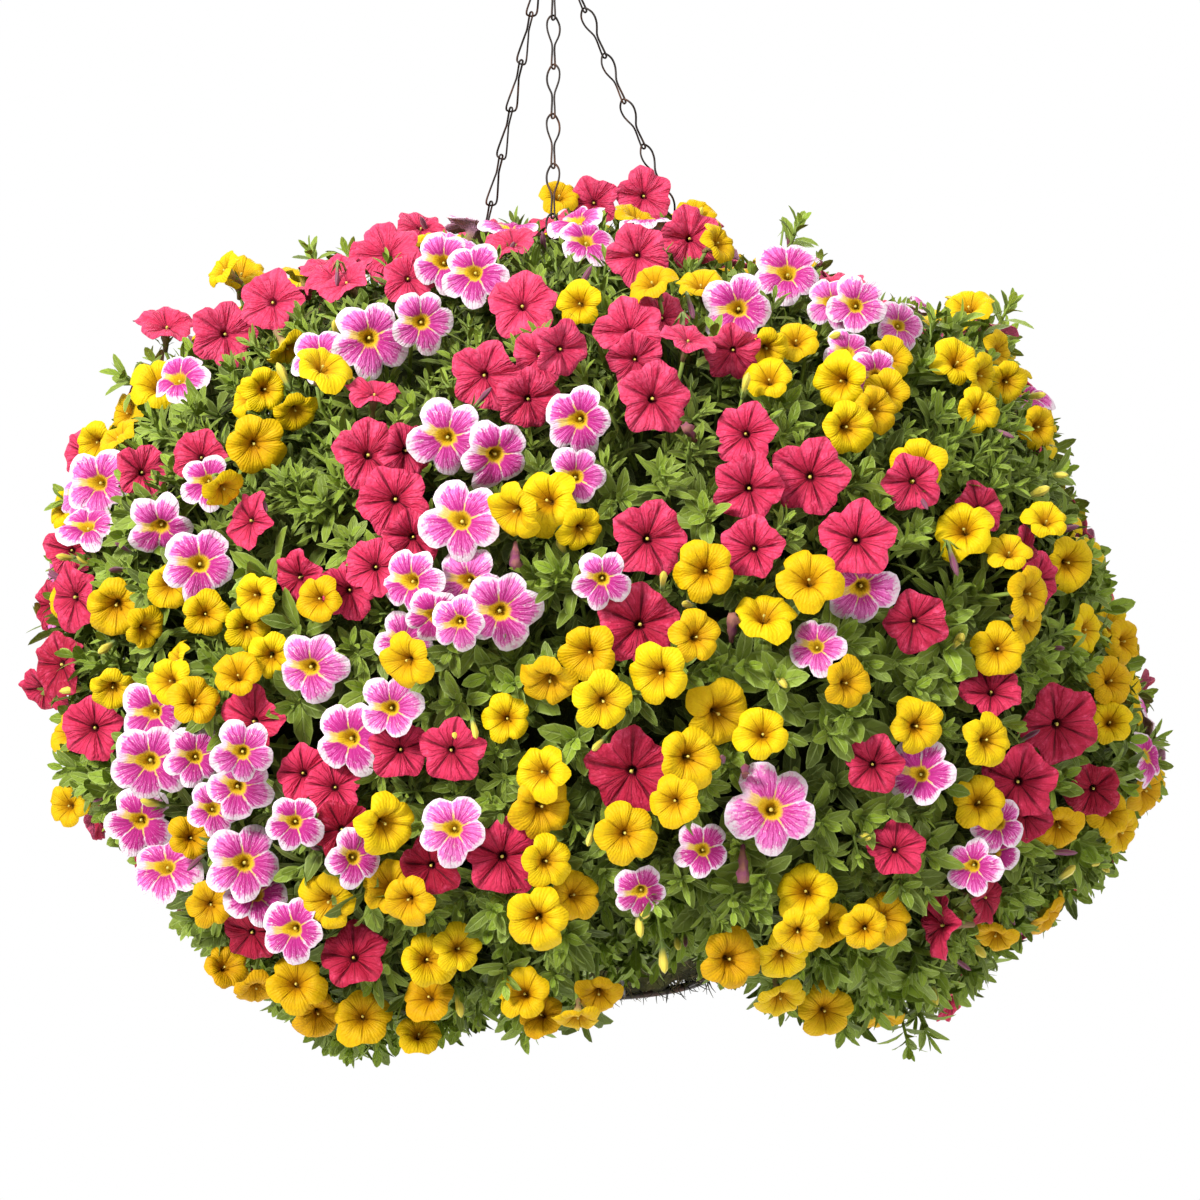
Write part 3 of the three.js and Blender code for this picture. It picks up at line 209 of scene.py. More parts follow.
# Closed and fading flowers: pixels across and down, and how far they point right and up.
BUDS = {
    "golden": [
        [836, 335, 0.6, 0.3], [1040, 395, 0.9, 0.1], [1063, 475, 0.9, 0], [1043, 490, 0.7, 0.3],
        [560, 543, -0.3, 0.6], [582, 573, 0, -0.8], [103, 650, -0.5, -0.4], [960, 638, 0.3, 0.5],
        [783, 683, 0.5, -0.7], [455, 733, 0, -0.8], [475, 733, 0.2, -0.8], [596, 747, -0.5, -0.5],
        [589, 841, -0.2, -0.8], [635, 850, 0.6, 0.4], [561, 895, 0.3, -0.8], [640, 930, 0.1, -0.9],
        [664, 965, 0.1, -0.95], [1106, 869, 0.5, -0.5], [943, 777, 0.3, 0.3], [935, 1000, 0.1, -0.9],
        [1070, 870, 0.6, 0.6], [460, 1010, 0.2, -0.9], [577, 1025, 0.1, -0.95], [700, 212, 0.4, 0.8],
    ],
    "petunia": [
        [337, 280, 0, -0.95], [423, 222, -0.3, 0.6], [513, 245, 0.2, 0.3], [1008, 435, 0.8, -0.4],
        [1070, 528, 0.8, 0.2], [1060, 648, 0.5, 0], [955, 567, 0.2, -0.8], [925, 505, 0.3, -0.6],
        [265, 507, 0.3, -0.5], [100, 798, -0.7, -0.4], [193, 865, -0.6, -0.6], [115, 570, -0.5, 0],
        [692, 312, 0.2, -0.8], [683, 340, 0, -0.9],
    ],
    "withered": [
        [743, 873, 0, -0.9], [745, 770, 0, 0.4], [688, 430, -0.3, 0.4], [515, 560, 0, -0.6],
        [732, 622, 0, 0.7],
    ],
}
# The growth's edge in the photograph, clockwise from the upper left. No shoot stands past it.
OUTLINE = [
    (150, 345), (230, 300), (285, 245), (330, 222), (400, 214), (455, 205), (560, 205), (600, 175),
    (650, 165), (700, 200), (735, 255), (790, 240), (850, 275), (905, 300), (985, 290), (1018, 340),
    (1050, 400), (1066, 470), (1100, 540), (1132, 620), (1162, 720), (1172, 780), (1125, 860),
    (1065, 925), (1005, 960), (970, 1005), (945, 1055), (905, 1068), (860, 1038), (800, 1026),
    (762, 1005), (735, 962), (615, 962), (580, 1036), (540, 1046), (480, 1025), (440, 1050),
    (380, 1050), (350, 1070), (305, 1038), (255, 995), (205, 955), (172, 925), (185, 880), (130, 868),
    (106, 832), (45, 800), (58, 745), (25, 690), (36, 600), (42, 510), (76, 435), (110, 385),
]

# The least and most spread of each kind in pixels.
SPREADS = {"petunia": (56, 74), "striped": (54, 72), "golden": (46, 60)}
# How deep a bloom that was read smaller than its kind's least is sunk, as a share of the difference.
SUNK_SHARE = 0.6
# How loosely each kind is turned about its own line and nods, in radians.
LOOSE = {"petunia": 0.42, "striped": 0.3, "golden": 0.55}
LOBES = 5
# How a bloom that cuts through another comes forward: steps of so many millimetres, how many at
# most, and how near to the other's face its edge counts as cutting it.
LIFT_STEP = 6
LIFT_MOST = 5
LIFT_SLAB = 5
# How a place past the growth's edge is moved in: steps of so many millimetres, and how many.
HOLD_STEP = 5
HOLD_MOST = 9
# How many pixels inside that edge the middle of a drawn bloom is.
BLOOM_ROOM = 12
# The draw of blooms where the photograph doesn't see: the least distance between two, how far they
# lean, the lowest slope, the kinds' shares added up, and how far round to the camera they go.
FILL = {"seed": 11, "tries": 3600, "apart": 66, "lean": 0.9, "lowest": -50,
        "petunias": 0.3, "striped": 0.52, "seen": 0.38, "seen_below": 0.1}
# The finer draw that fills the sides, back and top as thickly as the photograph's side.
THICKEN = {"seed": 29, "tries": 9000, "apart": 34}
# How many shapes of each kind of bloom there are.
VARIANTS = 8

Z = Vector((0, 0, 1))
Y = Vector((0, 1, 0))
AIM = Vector((VIEW["aim_right"], 0, VIEW["aim_rise"]))


# ---- Where the growth is ---------------------------------------------------------------------

def seeded(seed):
    """A seeded draw: each call gives the next number from low to high."""
    state = seed

    def draw(low=0.0, high=1.0):
        nonlocal state
        state = (state * 1664525 + 1013904223) % 4294967296
        return low + (high - low) * state / 4294967296

    return draw


def around(radius, azimuth, height):
    """A point at a radius and a height, azimuth degrees round from +X."""
    return Vector((radius * cos(radians(azimuth)), radius * sin(radians(azimuth)), height))


def in_part(point):
    """A point in millimetres from the rim's centre, as metres in the part's frame."""
    return (point + Vector((0, 0, RIM_HEIGHT))) * MM


def dome_height(z):
    """How far the outline reaches above the rim, or below it."""
    return DOME["rise"] if z > 0 else DOME["drop"]


def dome_value(point, inset=0.0):
    """Under 1 inside the outline moved in by an inset, and over 1 outside it."""
    across = hypot(point.x, point.y) / (DOME["radius"] - inset)
    return across ** DOME["power"] + (abs(point.z) / (dome_height(point.z) - inset)) ** DOME["power"]


def dome_radius(height, inset):
    """The outline's radius at a height, moved in by an inset."""
    share = max(0.0, 1 - (abs(height) / (dome_height(height) - inset)) ** DOME["power"])
    return (DOME["radius"] - inset) * share ** (1 / DOME["power"])


def outward_at(point):
    """The way out of the dome at a point."""
    across = max(hypot(point.x, point.y), 1e-6)
    height = dome_height(point.z)
    level = (across / DOME["radius"]) ** (DOME["power"] - 1) / DOME["radius"]
    rise = (abs(point.z) / height) ** (DOME["power"] - 1) / height
    up = rise if point.z > 0 else -rise
    return Vector((level * point.x / across, level * point.y / across, up)).normalized()


def bowl_radius(depth):
    """The wire basket's radius at a depth below its rim."""
    return RIM_RADIUS * sqrt(max(0.0, 1 - (depth / BASKET_BOWL) ** 2))


@lru_cache(maxsize=1)
def view_axes():
    """The ways to the camera, to the right of the photograph and up it."""
    tilt, roll = radians(VIEW["elevation"]), radians(VIEW["roll"])
    to_camera = Vector((0, -cos(tilt), sin(tilt)))
    level = Vector((1, 0, 0))
    upright = to_camera.cross(level)
    right = level * cos(roll) - upright * sin(roll)
    up = level * sin(roll) + upright * cos(roll)
    return to_camera, right, up


def dome_point(across, down):
    """Where the line of sight through a pixel first meets the dome, or passes closest to it."""
    to_camera, right, up = view_axes()
    camera = AIM + to_camera * VIEW["distance"]
    target = (AIM + right * (across - PHOTO_CENTRE) * MM_PER_PIXEL
              + up * (PHOTO_CENTRE - down) * MM_PER_PIXEL)
    sight = (target - camera).normalized()
    closest, least = None, inf
    nearest, furthest = VIEW["distance"] - SIGHT["before"], VIEW["distance"] + SIGHT["behind"]
    for run in range(nearest, furthest, SIGHT["step"]):
        point = camera + sight * run
        value = dome_value(point)
        if value < least:
            closest, least = point, value
        if value < 1:
            break
    return closest


def in_photograph(point):
    """The pixel at which the photograph's camera sees a point."""
    to_camera, right, up = view_axes()
    off = point - AIM
    share = VIEW["distance"] / (VIEW["distance"] - off.dot(to_camera)) / MM_PER_PIXEL
    return PHOTO_CENTRE + off.dot(right) * share, PHOTO_CENTRE - off.dot(up) * share


def facing_of(turn, lift):
    """The way that something faces which turns so far to the right and up."""
    to_camera, right, up = view_axes()
    forward = sqrt(max(0.05, 1 - turn * turn - lift * lift))
    return (right * turn + up * lift + to_camera * forward).normalized()


def axes_of(facing):
    """Two ways square to a facing and to each other."""
    start = Z if abs(facing.z) < 0.9 else Y
    right = start.cross(facing).normalized()
    return right, facing.cross(right)


def room_inside(point):
    """How many pixels a point is inside the growth's edge in the photograph, or under 0 outside."""
    x, y = in_photograph(point)
    inside, least = False, inf
    for (ax, ay), (bx, by) in zip(OUTLINE, OUTLINE[1:] + OUTLINE[:1]):
        if (ay > y) != (by > y) and x < ax + (bx - ax) * (y - ay) / (by - ay):
            inside = not inside
        share = ((x - ax) * (bx - ax) + (y - ay) * (by - ay)) / ((bx - ax) ** 2 + (by - ay) ** 2)
        share = min(1.0, max(0.0, share))
        least = min(least, hypot(x - ax - (bx - ax) * share, y - ay - (by - ay) * share))
    return least if inside else -least


def held_inside(point, least):
    """A point moved in towards the basket until the photograph's edge of the growth holds it."""
    for _ in range(HOLD_MOST):
        if room_inside(point) >= least:
            break
        point = point - outward_at(point) * HOLD_STEP
    return point


def drawn_place(draw, sunk, lowest, highest=88):
    """A seeded place on the dome, sunk below its outline, between two slopes in degrees."""
    azimuth = 360 * draw()
    least, most = sin(radians(lowest)), sin(radians(highest))
    slope = asin(least + (most - least) * draw())
    across = (DOME["radius"] - sunk) * cos(slope) ** (2 / DOME["power"])
    rise = (dome_height(slope) - sunk) * abs(sin(slope)) ** (2 / DOME["power"])
    return around(across, azimuth, rise if slope > 0 else -rise)


def read_bloom(kind, across, down, spread, turn=0, lift=0):
    """A bloom that the photograph shows. One that is read small is sunk, at its kind's least size."""
    centre = dome_point(across, down)
    size = max(spread, SPREADS[kind][0])
    centre -= outward_at(centre) * (size - spread) * MM_PER_PIXEL * SUNK_SHARE
    return {"kind": kind, "centre": centre, "facing": facing_of(turn, lift),
            "radius": size * MM_PER_PIXEL / 2, "read": True}


def drawn_bloom(draw):
    """A bloom where the photograph doesn't reach: its kind by a draw, facing outwards."""
    centre = drawn_place(draw, 0, FILL["lowest"])
    share = draw()
    kind = "petunia" if share < FILL["petunias"] else "striped" if share < FILL["striped"] else "golden"
    lean = Vector((draw() - 0.5, draw() - 0.5, draw() - 0.4)) * FILL["lean"]
    return {"kind": kind, "centre": centre, "facing": (outward_at(centre) + lean).normalized(),
            "radius": sum(SPREADS[kind]) * MM_PER_PIXEL / 4, "read": False}


def crosses(a, b):
    """Whether one bloom's edge cuts through another's face."""
    if (a["centre"] - b["centre"]).length >= a["radius"] + b["radius"]:
        return False
    for edge, face in ((a, b), (b, a)):
        right, up = axes_of(edge["facing"])
        for i in range(2 * LOBES):
            angle = i * pi / LOBES
            point = (edge["centre"] + right * edge["radius"] * cos(angle)
                     + up * edge["radius"] * sin(angle) - face["centre"])
            off = point.dot(face["facing"])
            out = sqrt(max(0, point.length_squared - off * off))
            if out < face["radius"] and abs(off) < LIFT_SLAB:
                return True
    return False


def lifted(bloom, placed):
    """A bloom that cuts through one already placed comes forward along the view, a step at a time."""
    for _ in range(LIFT_MOST):
        if not any(crosses(bloom, other) for other in placed):
            return bloom
        bloom["centre"] = bloom["centre"] + view_axes()[0] * LIFT_STEP
    return bloom


def fill(placed, seed, tries, apart):
    """More blooms by a seeded draw, where the camera of the photograph doesn't see."""
    to_camera = view_axes()[0]
    draw = seeded(seed)
    for _ in range(tries):
        bloom = drawn_bloom(draw)
        out = outward_at(bloom["centre"])
        if out.dot(to_camera) > (FILL["seen_below"] if out.z < -0.5 else FILL["seen"]):
            continue
        bloom["centre"] = held_inside(bloom["centre"], BLOOM_ROOM)
        if all((bloom["centre"] - other["centre"]).length >= apart for other in placed):
            placed.append(bloom)


@lru_cache(maxsize=1)
def all_blooms():
    """Every bloom: its kind, place, way and size, and what makes it differ from the next."""
    placed = []
    for kind, readings in READINGS.items():
        for reading in readings:
            placed.append(lifted(read_bloom(kind, *reading), placed))
    for drawing in (FILL, THICKEN):
        fill(placed, drawing["seed"], drawing["tries"], drawing["apart"])
    draw = seeded(5)
    for bloom in placed:
        bloom["tone"] = draw()
        bloom["variant"] = floor(draw(0, VARIANTS))
        swing = LOOSE[bloom["kind"]]
        bloom["roll"] = draw(-swing, swing)
        nod = Vector((draw(-swing, swing), 0, draw(-0.7 * swing, 0.9 * swing)))
        bloom["facing"] = (bloom["facing"] + nod * (0.8 if bloom["read"] else 0.3)).normalized()
        bloom["depth"] = draw(0.8, 1.2)
    return placed


def quarter_of(point):
    """The quarter of the growth that a point is in, by its direction round the basket."""
    turn = (degrees(atan2(point.y, point.x)) - FIRST_SEAM) % 360
    return QUARTERS[int(turn // 90)]


def nodes_of(quarter, tiers=("crown", "trailing")):
    """The frame's spray nodes in a quarter."""
    first = 3 * QUARTERS.index(quarter) + 1
    return [f"{tier}_spray_{first + i:02d}" for tier in tiers for i in range(3)]


# ---- Shapes by mesh operators ------------------------------------------------------------------

def new_shape():
    """An empty shape with a pattern map and a tone for each of its points."""
    bm = bmesh.new()
    bm.loops.layers.uv.new("pattern")
    bm.verts.layers.float.new("tone")
    return bm


def in_quarters():
    """An empty shape for each quarter of the growth."""
    return {quarter: new_shape() for quarter in QUARTERS}


def as_mesh(name, bm):
    """A shape kept as a mesh."""
    mesh = bpy.data.meshes.new(name)
    bm.to_mesh(mesh)
    bm.free()
    return mesh


def in_scene(name, data):
    """A new object in the scene."""
    made = bpy.data.objects.new(name, data)
    bpy.context.scene.collection.objects.link(made)
    return made


def make_piece(name, bm, finishes, nodes):
    """A finished piece of the part, from a shape, with its finishes and the nodes it stands for."""
    piece = in_scene(name, as_mesh(name, bm))
    for finish in finishes:
        piece.data.materials.append(finish)
    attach(piece, "root")
    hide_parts(*nodes)


def make_quarters(name, shapes, finishes):
    """A piece of the growth for each quarter."""
    for quarter, bm in shapes.items():
        make_piece(f"{name}_{quarter}", bm, finishes, nodes_of(quarter))


def stamp(bm, template, matrix, tone):
    """One more copy of a template in a shape."""
    copy = template.copy()
    copy.transform(matrix)
    copy.attributes["tone"].data.foreach_set("value", [tone] * len(copy.vertices))
    bm.from_mesh(copy)
    bpy.data.meshes.remove(copy)


def stand(centre, facing, size, roll=0.0, depth=1.0):
    """Where a template stands: its own +Z along facing, at a size in millimetres."""
    right, up = axes_of(facing)
    turn = Matrix((right, up, facing)).transposed() @ Matrix.Rotation(roll, 3, "Z")
    matrix = turn.to_4x4() @ Matrix.Diagonal((size * MM, size * MM, size * depth * MM, 1))
    matrix.translation = in_part(centre)
    return matrix


def paint(faces, layer, count, places):
    """Pattern coordinates for rings of faces: how far round in lobes, and the ring's own value."""
    for face in faces:
        turns = [places[loop.vert][0] for loop in face.loops]
        wraps = max(turns) - min(turns) > count / 2
        for loop in face.loops:
            turn, ring = places[loop.vert]
            if wraps and turn < count / 2:
                turn += count
            loop[layer].uv = (turn * LOBES / count, ring)


def ring_of(bm, count):
    """A circle's points in order round it."""
    made = bmesh.ops.create_circle(bm, segments=count, radius=1.0)["verts"]
    return sorted(made, key=lambda vert: atan2(vert.co.y, vert.co.x))


def edges_of(bm, loop):
    """The edges round a ring of points."""
    return [bm.edges.get(pair) for pair in zip(loop, loop[1:] + loop[:1])]


def next_ring(bm, loop):
    """The faces drawn out from a ring, and the new ring in the same order."""
    grown = bmesh.ops.extrude_edge_only(bm, edges=edges_of(bm, loop))["geom"]
    fresh = {part for part in grown if isinstance(part, bmesh.types.BMVert)}
    faces = [part for part in grown if isinstance(part, bmesh.types.BMFace)]
    above = [next(e.other_vert(v) for e in v.link_edges if e.other_vert(v) in fresh) for v in loop]
    return faces, above


def dress(faces, index):
    """Smooth faces in one of the piece's finishes."""
    for face in faces:
        face.smooth = True
        face.material_index = index


def drawn_rings(bm, count, rings, place, index=0):
    """A body drawn out ring by ring from one circle, with a flat at each end."""
    layer = bm.loops.layers.uv["pattern"]
    loop = ring_of(bm, count)
    places, made, ends = {}, [], []
    for r, ring in enumerate(rings):
        if r:
            faces, loop = next_ring(bm, loop)
            made += faces
        for k, vert in enumerate(loop):
            vert.co = place(ring, k)
            places[vert] = (k, ring[-1])
        if r in (0, len(rings) - 1):
            ends.append(loop)
    paint(made, layer, count, places)
    for end in ends:
        cap = bm.faces.new(end)
        made.append(cap)
        for corner in cap.loops:
            corner[layer].uv = (0, places[corner.vert][1])
    dress(made, index)
    bmesh.ops.recalc_face_normals(bm, faces=made)


def sweep(bm, path, radii, sides, index=0, closed=False):
    """A round wire, stalk or strand along a path, at one radius or at one for each point."""
    layer = bm.loops.layers.uv["pattern"]
    count = len(path)
    made, rings, side = [], [], None
    for i, point in enumerate(path):
        before = path[i - 1] if closed or i else point
        after = path[(i + 1) % count] if closed or i + 1 < count else point
        along = (after - before).normalized()
        if side is None:
            side = along.orthogonal().normalized()
        side = (side - along * side.dot(along)).normalized()
        other = along.cross(side)
        radius = radii[i] if isinstance(radii, list) else radii
        if rings:
            faces, loop = next_ring(bm, rings[-1])
            made += faces
        else:
            loop = ring_of(bm, sides)
        rings.append(loop)
        for k, vert in enumerate(loop):
            angle = 2 * pi * k / sides
            vert.co = point + side * radius * cos(angle) + other * radius * sin(angle)
    if closed:
        edges = edges_of(bm, rings[0]) + edges_of(bm, rings[-1])
        made += bmesh.ops.bridge_loops(bm, edges=edges)["faces"]
    else:
        made += [bm.faces.new(rings[0]), bm.faces.new(rings[-1])]
    dress(made, index)
    for face in made:
        for corner in face.loops:
            corner[layer].uv = (0.5, 0.5)
    bmesh.ops.recalc_face_normals(bm, faces=made)


def leaf(bm, matrix, length, width, rows=4, fold=0.25, curl=0.25, broadest=0.45, index=0, ring=0.0):
    """A leaf as a folded, curling blade along +Y of its matrix, its tip and base drawn to points."""
    layer = bm.loops.layers.uv["pattern"]
    made = bmesh.ops.create_grid(bm, x_segments=2, y_segments=rows, size=0.5)["verts"]
    flat = {vert: vert.co.copy() for vert in made}
    faces = {face for vert in made for face in vert.link_faces}
    dress(faces, index)
    for face in faces:
        for corner in face.loops:
            spot = flat[corner.vert]
            corner[layer].uv = (spot.x + 0.5, ring + spot.y + 0.5)
    for vert, spot in flat.items():
        along = (1 - cos(pi * (spot.y + 0.5))) / 2
        bulge = sin(pi * along ** (log(0.5) / log(broadest))) ** 0.65 if 0 < along < 0.999 else 0.0
        across = 2 * spot.x
        half = width / 2 * max(bulge, 0.07 if along < 0.5 else 0.0)
        rise = fold * half * abs(across) - curl * length * along * along
        vert.co = matrix @ Vector((across * half, along * length, rise))
    bmesh.ops.remove_doubles(bm, verts=made, dist=1e-5 * length)


def spun(bm, profile, steps):
    """A profile of radius and height, closed on itself or on the axis, spun about the basket's axis."""
    verts = [bm.verts.new(in_part(Vector((radius, 0, height)))) for radius, height in profile]
    edges = [bm.edges.new(pair) for pair in zip(verts, verts[1:])]
    if profile[0][0] > 0.01:
        edges.append(bm.edges.new((verts[-1], verts[0])))
    bmesh.ops.spin(bm, geom=verts + edges, cent=in_part(Vector((0, 0, 0))), axis=Z, angle=2 * pi,
                   steps=steps, use_merge=True)
    bmesh.ops.remove_doubles(bm, verts=bm.verts[:], dist=1e-6)
    bmesh.ops.recalc_face_normals(bm, faces=bm.faces[:])
    dress(bm.faces, 0)


def roughened(bm, amount, scale, seed=0.0):
    """Each point moved along its normal by an even noise, in millimetres."""
    bm.normal_update()
    shift = Vector((seed, 0, 0))
    moves = [(v, v.normal * noise.noise(v.co * scale + shift) * amount * MM) for v in bm.verts]
    for vert, move in moves:
        vert.co += move


def smoothed(points, per_span, closed=False):
    """A smooth curve through points, with a few more between each pair."""
    count = len(points)
    made = []
    for i in range(count if closed else count - 1):
        a, b = points[i], points[(i + 1) % count]
        before = points[i - 1] if closed or i else a
        after = points[(i + 2) % count] if closed or i + 2 < count else b
        for step in range(per_span):
            t = step / per_span
            made.append(0.5 * (2 * a + (b - before) * t + (2 * before - 5 * a + 4 * b - after) * t * t
                               + (3 * a - before - 3 * b + after) * t ** 3))
    if not closed:
        made.append(points[-1])
    return made


# ---- Finishes, as expressions on their values -----------------------------------------------------

def maths(operation, swapped=False):
    """A method of a shade, which adds the node for one operation."""
    def method(self, other=0.0):
        first, second = (other, self) if swapped else (self, other)
        return self.finish.node("ShaderNodeMath", {"operation": operation}, {0: first, 1: second})

    return method


class Shade:
    """A value in a finish. Arithmetic on it adds the nodes that work the answer out."""

    def __init__(self, finish, socket):
        self.finish = finish
        self.socket = socket

    __add__ = __radd__ = maths("ADD")
    __sub__ = maths("SUBTRACT")
    __rsub__ = maths("SUBTRACT", swapped=True)
    __mul__ = __rmul__ = maths("MULTIPLY")
    __truediv__ = maths("DIVIDE")
    __abs__ = maths("ABSOLUTE")
    fraction = maths("FRACT")
    whole = maths("FLOOR")
    least = maths("MINIMUM")
    most = maths("MAXIMUM")

    def folded(self):
        """Back and forth between 0 and 1: 1 at each whole number and 0 half-way."""
        return abs(self.fraction() * 2.0 - 1.0)

    def ramp(self, low, high):
        """From 0 at low to 1 at high, smoothly; low may be the greater of the two."""
        return self.finish.node("ShaderNodeMapRange", {"interpolation_type": "SMOOTHSTEP"},
                                {"Value": self, "From Min": low, "From Max": high})


class Finish:
    """A finish under construction: one Principled surface and the values that feed it."""

    def __init__(self, name, colours):
        self.colours = colours
        self.material = bpy.data.materials.new(name)
        self.material.use_nodes = True
        self.tree = self.material.node_tree
        self.tree.nodes.clear()
        self.surface = self.tree.nodes.new("ShaderNodeBsdfPrincipled")
        output = self.tree.nodes.new("ShaderNodeOutputMaterial")
        self.tree.links.new(self.surface.outputs[0], output.inputs["Surface"])

    def node(self, kind, settings=None, inputs=None, out=0):
        """A node with its settings made first, then its inputs as values or links."""
        made = self.tree.nodes.new(kind)
        for setting, value in (settings or {}).items():
            setattr(made, setting, value)
        for socket, value in (inputs or {}).items():
            self.put(made.inputs[socket], value)
        return Shade(self, made.outputs[out])

    def put(self, socket, value):
        """A link from a shade, a colour by the name of its setting, or a plain value."""
        if isinstance(value, Shade):
            self.tree.links.new(value.socket, socket)
        elif isinstance(value, str):
            socket.default_value = (*getattr(self.colours, value), 1.0)
        else:
            socket.default_value = value

    def set(self, **sockets):
        """Values or links for the surface's own sockets, named with underscores for spaces."""
        for name, value in sockets.items():
            self.put(self.surface.inputs[name.replace("_", " ")], value)

    def finished(self, colour, roughness, relief, depth, strength, **others):
        """The material, its surface fed with a colour, a roughness and a relief this deep in metres."""
        self.set(Base_Color=colour, Roughness=roughness, **others)
        self.set(Normal=self.node("ShaderNodeBump", None, {"Strength": strength, "Distance": depth,
                                                           "Height": relief}))
        return self.material

    def pattern(self):
        """How far round and how far out on the piece's own pattern."""
        place = self.node("ShaderNodeUVMap", {"uv_map": "pattern"})
        across = self.node("ShaderNodeSeparateXYZ", None, {0: place})
        return across, Shade(self, across.socket.node.outputs[1])

    def tone(self):
        """Each growing piece's own share from 0 to 1. On the leaves it is lower under the blooms, which
        paints shade on them.
        """
        return self.node("ShaderNodeAttribute", {"attribute_name": "tone"}, out=2)

    def spot(self):
        return self.node("ShaderNodeTexCoord", out=3)

    def height(self):
        """The height in the part's frame, in metres."""
        return self.node("ShaderNodeSeparateXYZ", None, {0: self.spot()}, out=2)

    def noise(self, scale, detail=2.0, roughness=0.5):
        return self.node("ShaderNodeTexNoise", None, {"Vector": self.spot(), "Scale": scale,
                                                     "Detail": detail, "Roughness": roughness})

    def mix(self, share, first, second):
        return self.node("ShaderNodeMix", {"data_type": "RGBA"}, {0: share, 6: first, 7: second}, out=2)


def petal_lobes(f):
    """The turn round a bloom in petals, 1 at a petal's middle down to 0 at a notch, and how far out."""
    turn, out = f.pattern()
    return turn, turn.folded(), out


def radial_lines(turn, count, wander):
    """Fine lines from the throat to the rim, count to each petal: 1 on a line."""
    return (turn * count + wander).folded()


def crease(middle, out, wander, across, along, stray=0.05):
    """A line down a petal, from where to where it fades in across the petal and along it."""
    return (middle + wander * stray).ramp(*across) * (out + wander * 0.5).ramp(*along)


def with_back(f, petal, out, back):
    """The petal's face, then its paler back, then the tube."""
    back = f.mix(out.ramp(1.6, 2.4), back, "tube")
    return f.mix(out.ramp(1.02, 1.05), petal, back)


def petunia_finish(colours):
    f = Finish("petunia_petals", colours)
    turn, middle, out = petal_lobes(f)
    wander = f.noise(190.0, 3.0) - 0.5
    grain = f.noise(520.0, 3.0, 0.7) - 0.5
    # Painted light and shade by height: the upper blooms are lighter, with fainter dark marks, and the
    # lower ones deeper crimson.
    low = f.height().ramp(-0.28, -0.6)
    high = f.height().ramp(-0.36, -0.27)
    # From the deep colour to the bright one by a random tone and a noise, and by height as painted
    # light and shade.
    share = 0.9 - low * 0.5 + high * 0.15 + (f.tone() - 0.5) * 0.7 + wander * 0.5
    petal = f.mix(share.ramp(0.0, 1.0), "petunia_deep", "petunia_bright")
    # Paler mottling, a little more on the upper blooms and less on the lower ones: partly painted
    # light.
    mottle = (grain * 1.6 + wander * 1.2 + out * 0.4 - low * 0.3 + high * 0.1).ramp(0.05, 0.75)
    petal = f.mix(mottle * 0.7, petal, "petunia_edge")
    coarse = radial_lines(turn, 4.0, wander * 1.6)
    fine = radial_lines(turn, 12.0, wander * 2.5)
    wrinkle = coarse.ramp(0.55, 1.0) * 0.7 + fine.ramp(0.4, 1.0) * (grain + 0.6) * 0.4
    # Darker radial lines, fainter on the upper blooms as painted light.
    petal = f.mix(wrinkle.least(1.0) * (0.6 - high * 0.2), petal, "petunia_deep")
    # A darker inner part round the throat, fainter on the upper blooms as painted light.
    inner = (out + wander * 0.3 - middle * 0.08).ramp(0.62, 0.12)
    petal = f.mix(inner * (0.8 - high * 0.5), petal, "petunia_deep")
    # Painted shade in the folds down each petal's middle and between the petals, fainter on the upper
    # blooms.
    fold = crease(middle, out, wander, (0.86, 0.97), (1.15, 0.5), stray=0.06)
    joint = crease(middle, out, wander, (0.09, 0.01), (1.0, 0.45))
    petal = f.mix(fold.most(joint * 0.7) * (0.8 - high * 0.5), petal, "petunia_throat_and_shade")
    # The throat, dark in its own colour and in painted shade, fainter on the upper blooms.
    petal = f.mix((out + wander * 0.06).ramp(0.19, 0.1) * (0.85 - high * 0.4), petal, "petunia_throat_and_shade")
    return f.finished(with_back(f, petal, out, "petunia_back"), 0.62,
                      coarse * 0.5 + fine * 0.2 - fold * 1.2 + grain * 0.5, 0.0014, 0.8,
                      Specular_IOR_Level=0.2)


